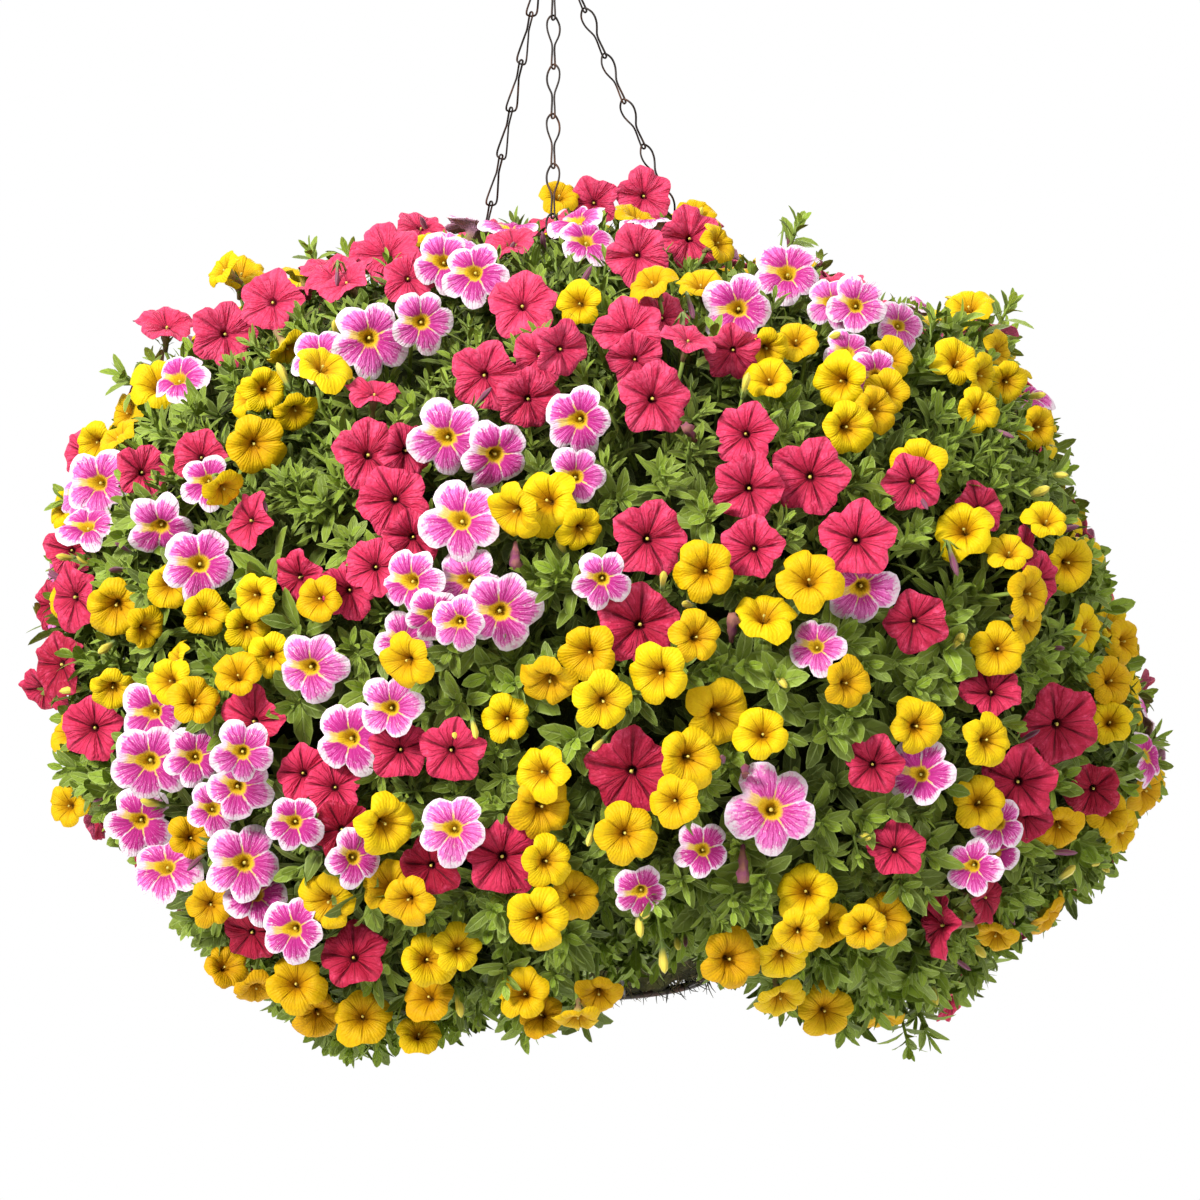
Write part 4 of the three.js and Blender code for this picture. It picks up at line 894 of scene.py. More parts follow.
def striped_finish(colours):
    f = Finish("striped_petals", colours)
    turn, middle, out = petal_lobes(f)
    tone = f.tone()
    wander = f.noise(240.0, 4.0, 0.65) - 0.5
    grain = f.noise(650.0, 3.0, 0.7) - 0.5
    coarse = radial_lines(turn, 5.0, wander * 1.6)
    fine = radial_lines(turn, 13.0, wander * 2.5)
    streak = (coarse.ramp(0.2, 1.0) * 0.5 + fine.ramp(0.1, 1.0) * 0.5 + grain * 0.7).most(0.0)
    # Painted shade: the lower blooms are deeper magenta.
    low = f.height().ramp(-0.48, -0.62)
    deep = out.ramp(1.05, 0.2) * 0.9 + tone * 0.6 + low * 0.3 + streak * 0.8 + wander * 1.2 - 0.55
    petal = f.mix(deep.ramp(0.0, 1.0), "striped_pink", "striped_inner")
    wide = abs(turn - 0.5).ramp(0.62, 0.15)
    width = (wide * 0.16 + 0.06) * (out * 0.8 + 0.5) / out.most(0.2)
    star = (width - middle + wander * 0.28 - grain * 0.25).ramp(-0.03, 0.09)
    rim = (out + wander * 0.35 + grain * 0.3 + tone * 0.06 - streak * 0.05).ramp(0.76, 0.95)
    speckle = (grain * 1.3 + wander + out * 0.42 - tone * 0.1 - streak * 0.25).ramp(0.16, 0.52) * 0.7
    pale = (star * (1.0 - out * 0.35)).most(rim).most(speckle)
    pale = (pale - streak * 0.22).most(0.0)
    yellowed = (out - wide * 0.15 + wander * 0.3).ramp(0.6, 0.34)
    petal = f.mix(pale, petal, f.mix(yellowed, "striped_white", "star_yellow"))
    throat = (out - wide * 0.1 + wander * 0.2).ramp(0.3, 0.19)
    petal = f.mix(throat, petal, "throat_yellow")
    # Painted shade on one side of the throat and at its bottom.
    shade = abs(turn - 3.0).ramp(1.9, 0.4) * (out + wander * 0.1).ramp(0.24, 0.1)
    petal = f.mix((shade + out.ramp(0.07, 0.03)).least(1.0) * 0.45, petal, "throat_brown_and_shade")
    return f.finished(with_back(f, petal, out, "striped_back"), 0.62,
                      coarse * 0.5 + fine * 0.3 + grain * 0.6, 0.0009, 0.7, Specular_IOR_Level=0.2)


def golden_finish(colours):
    f = Finish("golden_petals", colours)
    turn, middle, out = petal_lobes(f)
    wander = f.noise(240.0, 3.0) - 0.5
    grain = f.noise(600.0, 3.0, 0.65) - 0.5
    # Painted shade: the lower blooms are deeper orange.
    low = f.height().ramp(-0.4, -0.68) * 0.25
    share = f.tone() * 0.55 + low + wander * 0.5 + grain * 0.3
    petal = f.mix(share.ramp(0.0, 1.0), "golden", "golden_shade")
    petal = f.mix((out + wander * 0.15).ramp(0.62, 0.22) * 0.85, petal, "golden_shade")
    rib = crease(middle, out, wander, (0.92, 0.99), (0.9, 0.4))
    joint = crease(middle, out, wander, (0.1, 0.01), (1.1, 0.4))
    petal = f.mix((rib * 0.4).most(joint * 0.6), petal, "golden_vein")
    fine = radial_lines(turn, 9.0, wander * 1.5)
    lines = fine.ramp(0.5, 1.0) * (out + wander * 0.6).ramp(0.85, 0.3)
    petal = f.mix(lines * 0.18, petal, "golden_vein")
    petal = f.mix((out + wander * 0.12).ramp(0.34, 0.1) * 0.6, petal, "golden_vein")
    # The bottom of the throat in dark brown, partly its own colour and partly painted shade.
    petal = f.mix((out + wander * 0.05).ramp(0.1, 0.04) * 0.8, petal, "throat_brown_and_shade")
    return f.finished(with_back(f, petal, out, "golden_back"), 0.55,
                      fine * 0.3 - (rib * 0.5 + joint) + grain * 0.5 + wander * 0.5, 0.001, 0.7,
                      Specular_IOR_Level=0.12)


def stigma_finish(colours):
    f = Finish("stigmas", colours)
    speck = f.noise(900.0).ramp(0.3, 0.7)
    return f.finished(f.mix(speck, "stigma", "star_yellow"), 0.6, speck, 0.0002, 0.5)


def leaf_finish(colours):
    f = Finish("leaves", colours)
    across, along = f.pattern()
    tone = f.tone()
    own = (tone * 7.3 + along.whole() * 0.37).fraction()
    out = along.fraction()
    # From the shaded leaves' colour to the mid green by each leaf's own share and its shoot's tone,
    # which is painted shade under the blooms.
    green = f.mix((own * 0.55 + tone * 0.6).ramp(0.1, 0.95), "leaf_dark", "leaf_mid")
    newest = along.ramp(4.0, 0.5) * tone.ramp(0.2, 0.8)
    green = f.mix((newest * 0.85).most(own.ramp(0.75, 1.0) * tone * 0.45), green, "leaf_young")
    side = abs(across * 2.0 - 1.0)
    midrib = side.ramp(0.16, 0.03) * out.ramp(1.0, 0.5)
    vein = (out * 5.0 - side * 1.1).folded().ramp(0.78, 1.0)
    mottle = f.noise(260.0, 3.0, 0.6)
    green = f.mix((mottle - 0.45).most(0.0) * 0.35, green, "leaf_pale")
    green = f.mix(midrib * 0.5 + vein * 0.15, green, "leaf_pale")
    # The pale edges are fainter on low-toned leaves, in painted shade.
    edge = side.ramp(0.72, 1.0).most(out.ramp(0.85, 1.0))
    green = f.mix(edge * (tone * 0.5 + 0.15), green, "leaf_pale")
    green = f.mix(f.noise(75.0, 3.0).ramp(0.5, 0.8) * 0.4, green, "leaf_dark")
    return f.finished(green, 0.42 + mottle * 0.2, vein * 0.6 - midrib + mottle * 0.8, 0.0007, 0.7,
                      Specular_IOR_Level=0.22)


def stalk_finish(colours):
    f = Finish("stalks_and_sepals", colours)
    green = f.mix(f.noise(45.0).ramp(0.3, 0.75), "stalk", "leaf_mid")
    return f.finished(green, 0.6, f.noise(900.0), 0.0003, 0.5, Specular_IOR_Level=0.3)


def bud_finish(colours):
    f = Finish("buds", colours)
    turn, out = f.pattern()
    tip = f.mix(f.tone().ramp(0.4, 0.6), "bud_purple", "golden_back")
    colour = f.mix(out.ramp(0.3, 0.62), "stalk", tip)
    fold = (turn + out * 1.5).folded()
    colour = f.mix(fold.ramp(0.7, 1.0) * 0.4, colour, "leaf_mid")
    return f.finished(colour, 0.6, fold, 0.0005, 0.5, Sheen_Weight=0.2)


def withered_finish(colours):
    f = Finish("withered_petals", colours)
    colour = f.mix(f.noise(150.0, 3.0).ramp(0.3, 0.7), "withered", "bud_purple")
    return f.finished(colour, 0.85, f.noise(300.0, 4.0), 0.001, 0.8)


def moss_finish(colours):
    f = Finish("moss", colours)
    colour = f.mix(f.noise(28.0, 5.0, 0.65).ramp(0.35, 0.68), "moss_dark", "moss_green")
    colour = f.mix(f.noise(180.0, 4.0).ramp(0.55, 0.75) * 0.7, colour, "moss_dry")
    return f.finished(colour, 0.95, f.noise(350.0, 6.0, 0.7), 0.004, 1.0, Specular_IOR_Level=0.1)


def strand_finish(colours):
    f = Finish("moss_strands", colours)
    tone = f.tone()
    colour = f.mix(tone.ramp(0.2, 0.7), "moss_dark", "moss_green")
    colour = f.mix(tone.ramp(0.7, 1.0), colour, "moss_dry")
    return f.finished(colour, 0.9, f.noise(600.0), 0.0003, 0.5)


def soil_finish(colours):
    f = Finish("potting_soil", colours)
    crumbs = f.noise(90.0, 5.0, 0.7)
    colour = f.mix(crumbs.ramp(0.3, 0.7), "soil_dark", "soil")
    colour = f.mix(f.noise(320.0).ramp(0.66, 0.7), colour, "moss_dry")
    return f.finished(colour, 0.95, crumbs, 0.004, 0.9)


def wire_finish(colours):
    f = Finish("dark_wire", colours)
    rust = f.noise(70.0, 3.0).ramp(0.5, 0.75)
    fine = f.noise(500.0)
    return f.finished(colour=f.mix(rust, "wire", "rust"), Metallic=0.55 - rust * 0.4,
                      roughness=0.42 + rust * 0.35 + fine * 0.1, relief=fine + rust, depth=0.0001,
                      strength=0.3)


def core_finish(colours):
    f = Finish("shaded_growth", colours)
    # The near-black green is painted shade.
    colour = f.mix(f.noise(55.0, 5.0, 0.7).ramp(0.35, 0.7), "core", "leaf_dark")
    return f.finished(colour, 0.9, f.noise(90.0, 5.0, 0.7), 0.006, 1.0, Specular_IOR_Level=0.1)


# ---- Petals and blooms ---------------------------------------------------------------------------

# Rings of a bloom from the bottom of its throat out to its rim, then back behind it to its tube's
# end: the reach and rise as shares of its radius, and the ring's place in the pattern.
RINGS = {
    "petunia": [
        (0.02, -0.5, 0.0), (0.07, -0.42, 0.07), (0.11, -0.28, 0.12), (0.19, -0.16, 0.2),
        (0.34, -0.07, 0.35), (0.54, 0.0, 0.55), (0.74, 0.04, 0.75), (0.9, 0.04, 0.9),
        (1.0, 0.0, 1.0), (0.98, -0.03, 1.06), (0.6, -0.06, 1.35), (0.22, -0.26, 1.8),
        (0.12, -0.6, 2.3), (0.08, -1.15, 3.0),
    ],
    "striped": [
        (0.03, -0.5, 0.0), (0.1, -0.36, 0.08), (0.18, -0.15, 0.19), (0.32, -0.02, 0.34),
        (0.56, 0.04, 0.58), (0.8, 0.03, 0.82), (1.0, -0.02, 1.0), (0.98, -0.05, 1.06),
        (0.58, -0.05, 1.35), (0.22, -0.22, 1.8), (0.12, -0.55, 2.3), (0.08, -1.1, 3.0),
    ],
    "golden": [
        (0.02, -0.66, 0.0), (0.07, -0.56, 0.07), (0.16, -0.4, 0.17), (0.3, -0.2, 0.32),
        (0.46, -0.05, 0.48), (0.66, 0.04, 0.67), (0.86, 0.04, 0.87), (1.0, -0.04, 1.0),
        (0.98, -0.07, 1.06), (0.62, -0.06, 1.35), (0.28, -0.32, 1.8), (0.14, -0.66, 2.3),
        (0.09, -1.1, 3.0),
    ],
}
# The rim's place in the pattern.
RIM = 1.0
# Each kind: the name of its pieces, how far it spreads, the points round it, how far out the middle
# of each round petal lies, how far its tip stands out, how far its rim curls back, how much it
# waves, how far its outline strays, how deep the folds down each petal's middle and between two
# petals are, how uneven it is, and how far it is turned in half lobes.
BLOOMS = {
    "petunia": {"pieces": "petunias", "spread": 0.93, "points": 50, "petal": 0.45, "tip": 0.075,
                "curl": 0.07, "wave": 0.06, "stray": 0.02, "fold": 0.2, "valley": 0.06,
                "uneven": 0.9, "turn": 0},
    "striped": {"pieces": "striped", "spread": 0.97, "points": 40, "petal": 0.58, "tip": 0.0,
                "curl": 0.14, "wave": 0.035, "stray": 0.015, "fold": 0.03, "valley": 0.1,
                "uneven": 1.5, "turn": 1},
    "golden": {"pieces": "golden", "spread": 0.98, "points": 40, "petal": 0.52, "tip": -0.02,
               "curl": 0.16, "wave": 0.045, "stray": 0.014, "fold": 0.05, "valley": 0.13,
               "uneven": 1.1, "turn": 0},
}
SEPALS = 5


def sepals(bm, turn, out, rise, tilt, length, width):
    """The sepals round a bloom's tube or a bud's foot, tilted up by so many degrees."""
    for i in range(SEPALS):
        base = Matrix.Rotation(2 * pi * i / SEPALS + turn, 4, "Z") @ Matrix.Translation((0, out, rise))
        leaf(bm, base @ Matrix.Rotation(radians(tilt), 4, "X"), length, width, rows=2, index=1)


def petal_reach(middle, aside):
    """How far out a round petal's rim is at an angle aside from the petal's own line."""
    return middle * cos(aside) + sqrt((1 - middle) ** 2 - (middle * sin(aside)) ** 2)


def bloom_template(kind, variant, ruffle):
    """One open bloom, its face along +Z, one unit in radius, with its tube behind and its sepals."""
    look = BLOOMS[kind]
    uneven = look["uneven"]
    bm = new_shape()
    draw = seeded(100 * variant + len(kind))
    phase, turned, skewed = draw(0, 2 * pi), draw(0, 2 * pi), draw(0, 2 * pi)
    bent, off_centre = draw(-0.09, 0.09) * uneven, draw(0.02, 0.09)
    lobes = [(draw(-0.08, 0.05) * uneven, draw(-0.1, 0.07) * uneven, draw(-0.14, 0.14) * uneven,
              draw(0.5, 1.7)) for _ in range(LOBES)]
    count = look["points"]

    def place(ring, k):
        reach, rise, _ = ring
        turn = LOBES * k / count
        angle = 2 * pi * k / count + pi / 2
        angle += uneven * (0.07 * sin(angle + skewed) + 0.05 * sin(2 * angle + phase))
        longer, lift, twist, curled = lobes[int(turn + 0.5) % LOBES]
        aside = (turn + 0.5) % 1 - 0.5
        free = max(0.0, (reach - 0.2) / 0.8) ** 1.3
        crown = 1 - 4 * aside ** 2
        outline = petal_reach(look["petal"], 2 * pi * aside / LOBES) + longer * crown
        outline += look["tip"] * cos(pi * aside) ** 10
        outline += look["stray"] * (sin(13 * angle + phase) + sin(8 * angle + turned))
        waves = sin(5 * angle + phase) + 0.8 * sin(8 * angle + turned) + 0.5 * sin(13 * angle)
        rise += (ruffle * look["wave"] * waves + (lift + twist * aside) * crown) * free
        rise -= look["curl"] * curled * crown * free ** 2
        inside = max(0.0, min(1.0, (reach - 0.15) / 0.25))
        rise -= look["valley"] * (2 * abs(aside)) ** 4 * inside
        rise -= look["fold"] * cos(pi * aside) ** 4 * inside * (1.15 - reach)
        rise += bent * cos(2 * (angle - turned)) * free
        out = reach * (1 + (outline - 1) * free)
        slide = off_centre * max(0.0, 1 - reach)
        return Vector((out * cos(angle) + slide * cos(skewed),
                       out * sin(angle) + slide * sin(skewed), rise))

    drawn_rings(bm, count, RINGS[kind], place)
    layer = bm.loops.layers.uv["pattern"]
    for edge in bm.edges:
        edge.smooth = len(edge.link_faces) != 2 or not on_rim(edge, layer)
    sepals(bm, 0.3, 0.1, -0.95, 62, 0.42, 0.13)
    slide = Vector((cos(skewed), sin(skewed), 0)) * off_centre
    sweep(bm, [slide + Vector((0, 0, rise)) for rise in (-0.5, -0.28, -0.2, -0.16)],
          [0.02, 0.022, 0.05, 0.03], 6, index=2)
    return as_mesh(f"{kind}_{variant}", bm)


def on_rim(edge, layer):
    """Whether an edge lies on a bloom's rim, by its place in the pattern."""
    return all(abs(loop[layer].uv.y - RIM) < 1e-4
               for face in edge.link_faces for loop in face.loops if loop.vert in edge.verts)


def bloom_pieces(kind, finishes, sizes):
    """All the blooms of a kind."""
    look = BLOOMS[kind]
    templates = [bloom_template(kind, v, sizes.ruffle) for v in range(VARIANTS)]
    shapes = in_quarters()
    for bloom in all_blooms():
        if bloom["kind"] != kind:
            continue
        size = bloom["radius"] * look["spread"] * sizes.bloom_scale
        roll = bloom["roll"] + look["turn"] * pi / LOBES
        place = stand(bloom["centre"], bloom["facing"], size, roll, bloom["depth"])
        stamp(shapes[quarter_of(bloom["centre"])], templates[bloom["variant"]], place, bloom["tone"])
    make_quarters(look["pieces"], shapes, finishes)


# ---- Buds and withered blooms -------------------------------------------------------------------

BUD_RINGS = [(0.02, 1.0, 1.0), (0.11, 0.9, 0.9), (0.16, 0.72, 0.74), (0.13, 0.5, 0.55),
             (0.1, 0.3, 0.4), (0.11, 0.12, 0.2), (0.05, 0.0, 0.0)]
WITHERED_RINGS = [(0.01, 1.0, 1.0), (0.13, 0.97, 0.9), (0.15, 0.8, 0.8), (0.09, 0.6, 0.6),
                  (0.11, 0.45, 0.5), (0.07, 0.25, 0.3), (0.05, 0.0, 0.0)]
BUD_POINTS = 10
# How many bumps a withered bloom's crumpling is taken from.
BUMPS = 80


def bud_template(name, slim):
    """A furled bloom along +Z, one unit long, with its sepals."""
    bm = new_shape()

    def place(ring, k):
        reach, rise, _ = ring
        angle = 2 * pi * k / BUD_POINTS + rise * 2.4
        out = reach * slim * (1 + 0.18 * cos(5 * angle) * rise)
        return Vector((out * cos(angle), out * sin(angle), rise))

    drawn_rings(bm, BUD_POINTS, BUD_RINGS, place)
    sepals(bm, 0, 0.06, 0.02, 68, 0.45, 0.1)
    return as_mesh(name, bm)


def withered_template():
    """A spent bloom hanging limp along +Z."""
    bm = new_shape()
    draw = seeded(3)
    bumps = [draw(-0.3, 0.3) for _ in range(BUMPS)]

    def place(ring, k):
        reach, rise, _ = ring
        angle = 2 * pi * k / BUD_POINTS
        out = reach * (1 + bumps[(k * 7 + int(rise * 20)) % BUMPS] + 0.25 * cos(k * pi))
        return Vector((out * cos(angle), out * sin(angle), rise))

    drawn_rings(bm, BUD_POINTS, WITHERED_RINGS, place, index=2)
    return as_mesh("withered", bm)


# Each kind of bud: how long it is in millimetres, and its tone, which its finish reads.
BUD_LENGTHS = {"golden": 17, "petunia": 21, "withered": 19}
BUD_TONES = {"golden": 1.0, "petunia": 0.0, "withered": 0.5}
# How many more buds are tried, and the golden ones' share of them.
MORE_BUDS = 150
GOLDEN_SHARE = 0.55


def turned_round(vector):
    """A point or a way, turned half round the basket's axis."""
    return Vector((-vector.x, -vector.y, vector.z))


@lru_cache(maxsize=1)
def bud_places():
    """Each bud's kind, base, way and length: those read off the photograph, the same behind, and a
    seeded draw of more."""
    draw = seeded(43)
    places = []

    def add(kind, tip, facing):
        length = BUD_LENGTHS[kind] * draw(0.75, 1.15)
        places.append((kind, tip - facing * length * 0.75, facing, length))

    for kind, readings in BUDS.items():
        for across, down, turn, lift in readings:
            centre = dome_point(across, down)
            facing = facing_of(turn, lift)
            add(kind, centre, facing)
            add(kind, held_inside(turned_round(centre), 4), turned_round(facing))
    for _ in range(MORE_BUDS):
        tip = drawn_place(draw, draw(-6, 8), FILL["lowest"])
        lean = Vector((draw(-0.6, 0.6), draw(-0.6, 0.6), draw(-0.3, 0.7)))
        kind = "golden" if draw() < GOLDEN_SHARE else "petunia"
        tip = held_inside(tip, 14)
        if all((tip - bloom["centre"]).length > 0.8 * bloom["radius"] for bloom in all_blooms()):
            add(kind, tip, (outward_at(tip) + lean).normalized())
    return places


def bud_pieces(finishes):
    """The buds and withered blooms."""
    templates = {"golden": bud_template("golden_bud", 0.9),
                 "petunia": bud_template("petunia_bud", 0.52),
                 "withered": withered_template()}
    shapes = in_quarters()
    draw = seeded(47)
    for kind, base, facing, length in bud_places():
        place = stand(base, facing, length, draw(0, 6))
        stamp(shapes[quarter_of(base)], templates[kind], place, BUD_TONES[kind])
    make_quarters("buds", shapes, finishes)


# ---- Leaves, stalks and the shaded growth inside ---------------------------------------------------

# The turn from one leaf to the next up a shoot, and how far its stem goes on below its leaves.
GOLDEN_TURN = radians(137.5)
STEM_FOOT = 22
# Each kind of shoot: its leaves, how long and wide each is and how far down its stem they go, in
# millimetres, and how far along its own length a leaf is broadest, as a share.
SHOOT_KINDS = {
    "small": {"leaves": 10, "length": 19, "width": 8.5, "stem": 20, "broadest": 0.52},
    "narrow": {"leaves": 12, "length": 18, "width": 5.2, "stem": 22, "broadest": 0.5},
    "broad": {"leaves": 8, "length": 26, "width": 13, "stem": 24, "broadest": 0.52},
}


def shoot_template(kind, variant):
    """A leafy shoot along +Z, its tip at the origin, with one unit for a millimetre."""
    look = SHOOT_KINDS[kind]
    bm = new_shape()
    draw = seeded(17 * variant + len(kind))
    count = look["leaves"]
    for i in range(count):
        share = (i + 0.5) / count
        grown = 0.35 + 0.7 * share ** 0.6
        length = look["length"] * grown * draw(0.85, 1.15)
        width = look["width"] * grown * draw(0.85, 1.15)
        tilt = radians(78 - 66 * share + draw(-10, 10))
        base = (Matrix.Translation((0, 0, -look["stem"] * share))
                @ Matrix.Rotation(i * GOLDEN_TURN + draw(-0.3, 0.3), 4, "Z")
                @ Matrix.Translation((0, 0.8, 0)) @ Matrix.Rotation(tilt, 4, "X"))
        leaf(bm, base, length, width, rows=5, fold=draw(0.1, 0.4), curl=draw(0.05, 0.35),
             broadest=look["broadest"], ring=float(i))
    stem = [Z * rise for rise in (-look["stem"] - STEM_FOOT, -look["stem"] * 0.5, 0)]
    sweep(bm, stem, [1.3, 1.1, 0.6], 5, index=1)
    return as_mesh(f"shoot_{kind}_{variant}", bm)


# How many shapes of each kind of shoot there are.
SHOOT_VARIANTS = 4
# The draw of shoots: how many are tried, the lowest slope, the share that may stand before a
# bloom, the heights above which more are spiky and below which more are broad, the room between
# them and the basket, how far off a bloom is still near, how long a stem is looked at, and how far
# a shoot that pierces a bloom draws back, in millimetres.
LEAFY = {"tries": 5050, "lowest": -74, "in_front": 0.05, "spiky_above": 150, "broad_below": 60,
         "clear": 14, "near": 60, "stem": 22, "back": 16}
# Where the photograph shows the moss: from and to which pixel across, and from which one down.
MOSS_WINDOW = (578, 722, 890)
# How deep a shoot's tip is below the outline at most, in millimetres.
DEEPEST = 50
# The stretch in front where the growth hangs less and the moss shows: its direction, half its
# width in degrees, and how much higher the growth ends there, in millimetres.
BARE = {"azimuth": 276, "half": 13, "rise": 93}


def growth_floor(point):
    """How low the leaves hang at a point's direction."""
    turn = (degrees(atan2(point.y, point.x)) - BARE["azimuth"] + 180) % 360 - 180
    share = max(0.0, 1 - (turn / BARE["half"]) ** 4)
    return -DOME["drop"] + BARE["rise"] * share ** 0.5


def hides_moss(point):
    """Whether a point is in front of the moss that the photograph shows."""
    across, down = in_photograph(point)
    return point.y < 0 and MOSS_WINDOW[0] < across < MOSS_WINDOW[1] and down > MOSS_WINDOW[2]


def bloom_finder():
    """The blooms' centres, to be searched by distance."""
    blooms = all_blooms()
    tree = KDTree(len(blooms))
    for i, bloom in enumerate(blooms):
        tree.insert(bloom["centre"], i)
    tree.balance()
    return blooms, tree


# The room that a shoot leaves a bloom, in millimetres: past its rim, before its face, behind its
# rim, and how much more behind its middle, as a share of the way in from the rim.
PIERCED = {"beside": 3, "before": 12, "behind": 7, "deeper": 0.3}


def pierces(tip, way, reach, near):
    """Whether a shoot's tip or stem comes through one of the blooms near it."""
    for bloom in near:
        for share in (0.0, 0.4, 0.8):
            off = tip - way * reach * share - bloom["centre"]
            height = off.dot(bloom["facing"])
            aside = sqrt(max(0.0, off.length_squared - height * height))
            behind = PIERCED["behind"] + PIERCED["deeper"] * (bloom["radius"] - aside)
            if aside < bloom["radius"] + PIERCED["beside"] and -behind < height < PIERCED["before"]:
                return True
    return False


@lru_cache(maxsize=1)
def leafy_places():
    """Where every shoot stands: its kind, place, way out, size and tone. The tone is lower for a shoot
    under a bloom, as painted shade.
    """
    places = []
    for across, down, spread, turn, lift in SHOOTS:
        centre, facing = dome_point(across, down), facing_of(turn, lift)
        behind = held_inside(turned_round(centre), 0)
        for spot, way in ((centre, facing), (behind, turned_round(facing))):
            places.append(("small" if spread < 57 else "narrow", spot, way, spread / 52, 0.85))
    draw = seeded(61)
    blooms, finder = bloom_finder()
    for _ in range(LEAFY["tries"]):
        drawn = drawn_place(draw, 0, LEAFY["lowest"])
        centre = held_inside(drawn, draw(1, 20))
        out = outward_at(centre)
        way = (out + Vector((draw(-0.5, 0.5), draw(-0.5, 0.5), draw(-0.35, 0.45)))).normalized()
        while centre.z < growth_floor(centre) or hides_moss(centre):
            centre = centre + Z * HOLD_STEP
        bowl = bowl_radius(min(-centre.z, BASKET_DEPTH)) + LEAFY["clear"]
        if centre.z < 0 and hypot(centre.x, centre.y) < bowl:
            continue
        kind = "small" if draw() < 0.5 else "narrow" if draw() < 0.6 else "broad"
        if centre.z > LEAFY["spiky_above"] and draw() < 0.55:
            kind, way = "narrow", (way + Z * draw(0.0, 0.5)).normalized()
        if centre.z < LEAFY["broad_below"] and draw() < 0.3:
            kind = "broad"
        size = draw(0.75, 1.15)
        near = [blooms[i] for _, i, _ in finder.find_range(centre, LEAFY["near"])]
        covered = min(((b["centre"] - centre).length / b["radius"] for b in near), default=2.0) < 1.0
        depth = draw(16, 34) if covered else draw(0, 14)
        depth = min(depth, DEEPEST - (drawn - centre).length)
        # Painted shade: a shoot under a bloom gets a low tone, which darkens its leaves.
        tone = draw(0.0, 0.5) if covered else draw(0.35, 1.0)
        tip = centre - out * depth
        if draw() > LEAFY["in_front"] and pierces(tip, way, LEAFY["stem"] * size, near):
            # A shoot drawn back behind a bloom is darkened further, as painted shade.
            tip, tone = tip - out * LEAFY["back"], tone * 0.6
            if pierces(tip, way, LEAFY["stem"] * size, near):
                continue
        places.append((kind, tip, way, size, tone))
    return places


def leaf_pieces(finishes):
    """The leafy shoots, in a crown and a trailing part for each quarter."""
    templates = {kind: [shoot_template(kind, v) for v in range(SHOOT_VARIANTS)] for kind in SHOOT_KINDS}
    shapes = {(quarter, tier): new_shape() for quarter in QUARTERS for tier in ("crown", "trailing")}
    draw = seeded(71)
    for kind, centre, facing, size, tone in leafy_places():
        tier = "crown" if centre.z > TIER_SPLIT else "trailing"
        place = stand(centre, facing, size, draw(0, 6))
        variant = floor(draw(0, SHOOT_VARIANTS))
        stamp(shapes[quarter_of(centre), tier], templates[kind][variant], place, tone)
    for (quarter, tier), bm in shapes.items():
        nodes = nodes_of(quarter, (tier,))
        make_piece(f"leaves_{tier}_{quarter}", bm, finishes, nodes)


# How far inside the outline the shaded growth is.
CORE_INSET = 62
# How much higher than the leaves the shaded growth ends above the moss, as a share of their rise.
CORE_RISE = 1.35
# A stalk's bend behind its bloom, back and in, then its steps to the shaded growth, each so far in
# and down, until it is so deep in it.
STALK = {"back": 7, "in": 8, "steps": 40, "step": 4, "down": 0.6, "deep": 6}


def stalk_pieces(finishes):
    """The stalks that carry the blooms and buds, each into the shaded growth."""
    shapes = in_quarters()
    draw = seeded(83)
    carried = [(bloom["centre"] - bloom["facing"] * bloom["radius"] * 0.95, bloom["facing"], 1.2)
               for bloom in all_blooms()]
    carried += [(base + facing, facing, 0.8) for _, base, facing, _ in bud_places()]
    for start, facing, thick in carried:
        inward = -outward_at(start)
        bend = start - facing * STALK["back"] + inward * STALK["in"]
        point = bend
        for _ in range(STALK["steps"]):
            if dome_value(point, CORE_INSET + STALK["deep"]) < 1:
                break
            point = point + inward * STALK["step"] - Z * STALK["down"]
        sag = Vector((draw(-3, 3), draw(-3, 3), draw(-4, 0)))
        path = [in_part(p) for p in (start, bend, (bend + point) / 2 + sag, point)]
        radii = [thick * share * MM for share in (1.0, 0.9, 1.0, 1.15)]
        sweep(shapes[quarter_of(start)], path, radii, 5)
    make_quarters("stalks", shapes, finishes)


def inner_growth(finish):
    """A dark lumpy surface inside, its near-black colour painted shade, that stands for the shaded
    leaves and stems which the gaps between the blooms show.
    """
    bm = new_shape()
    top = DOME["rise"] - CORE_INSET
    bottom = CORE_INSET - DOME["drop"]
    heights = [bottom * share for share in (0.97, 0.9, 0.75, 0.55, 0.35, 0.15)]
    heights += [top * share for share in (0.0, 0.15, 0.3, 0.45, 0.6, 0.72, 0.82, 0.9, 0.96)]
    outside = [(dome_radius(height, CORE_INSET), height) for height in heights]
    over = [(16, top), (16, -9), (RIM_RADIUS - 26, -9), (RIM_RADIUS - 26, 0), (RIM_RADIUS - 2, 10),
            (RIM_RADIUS + 8, 2)]
    beside = [(bowl_radius(-height) + 9, height) for height in (-20, -50, -80, -110, bottom + 8)]
    spun(bm, outside + over + beside, 96)
    for vert in bm.verts:
        rise = (growth_floor(vert.co) + DOME["drop"]) * CORE_RISE
        low = vert.co.z - RIM_HEIGHT * MM
        if low < 0 and hypot(vert.co.x, vert.co.y) > (bowl_radius(110) + LEAFY["clear"]) * MM:
            vert.co.z = RIM_HEIGHT * MM + low * (1 - rise / DOME["drop"])
    roughened(bm, 9, 42)
    make_piece("inner_growth", bm, [finish],
               [node for quarter in QUARTERS for node in nodes_of(quarter)])


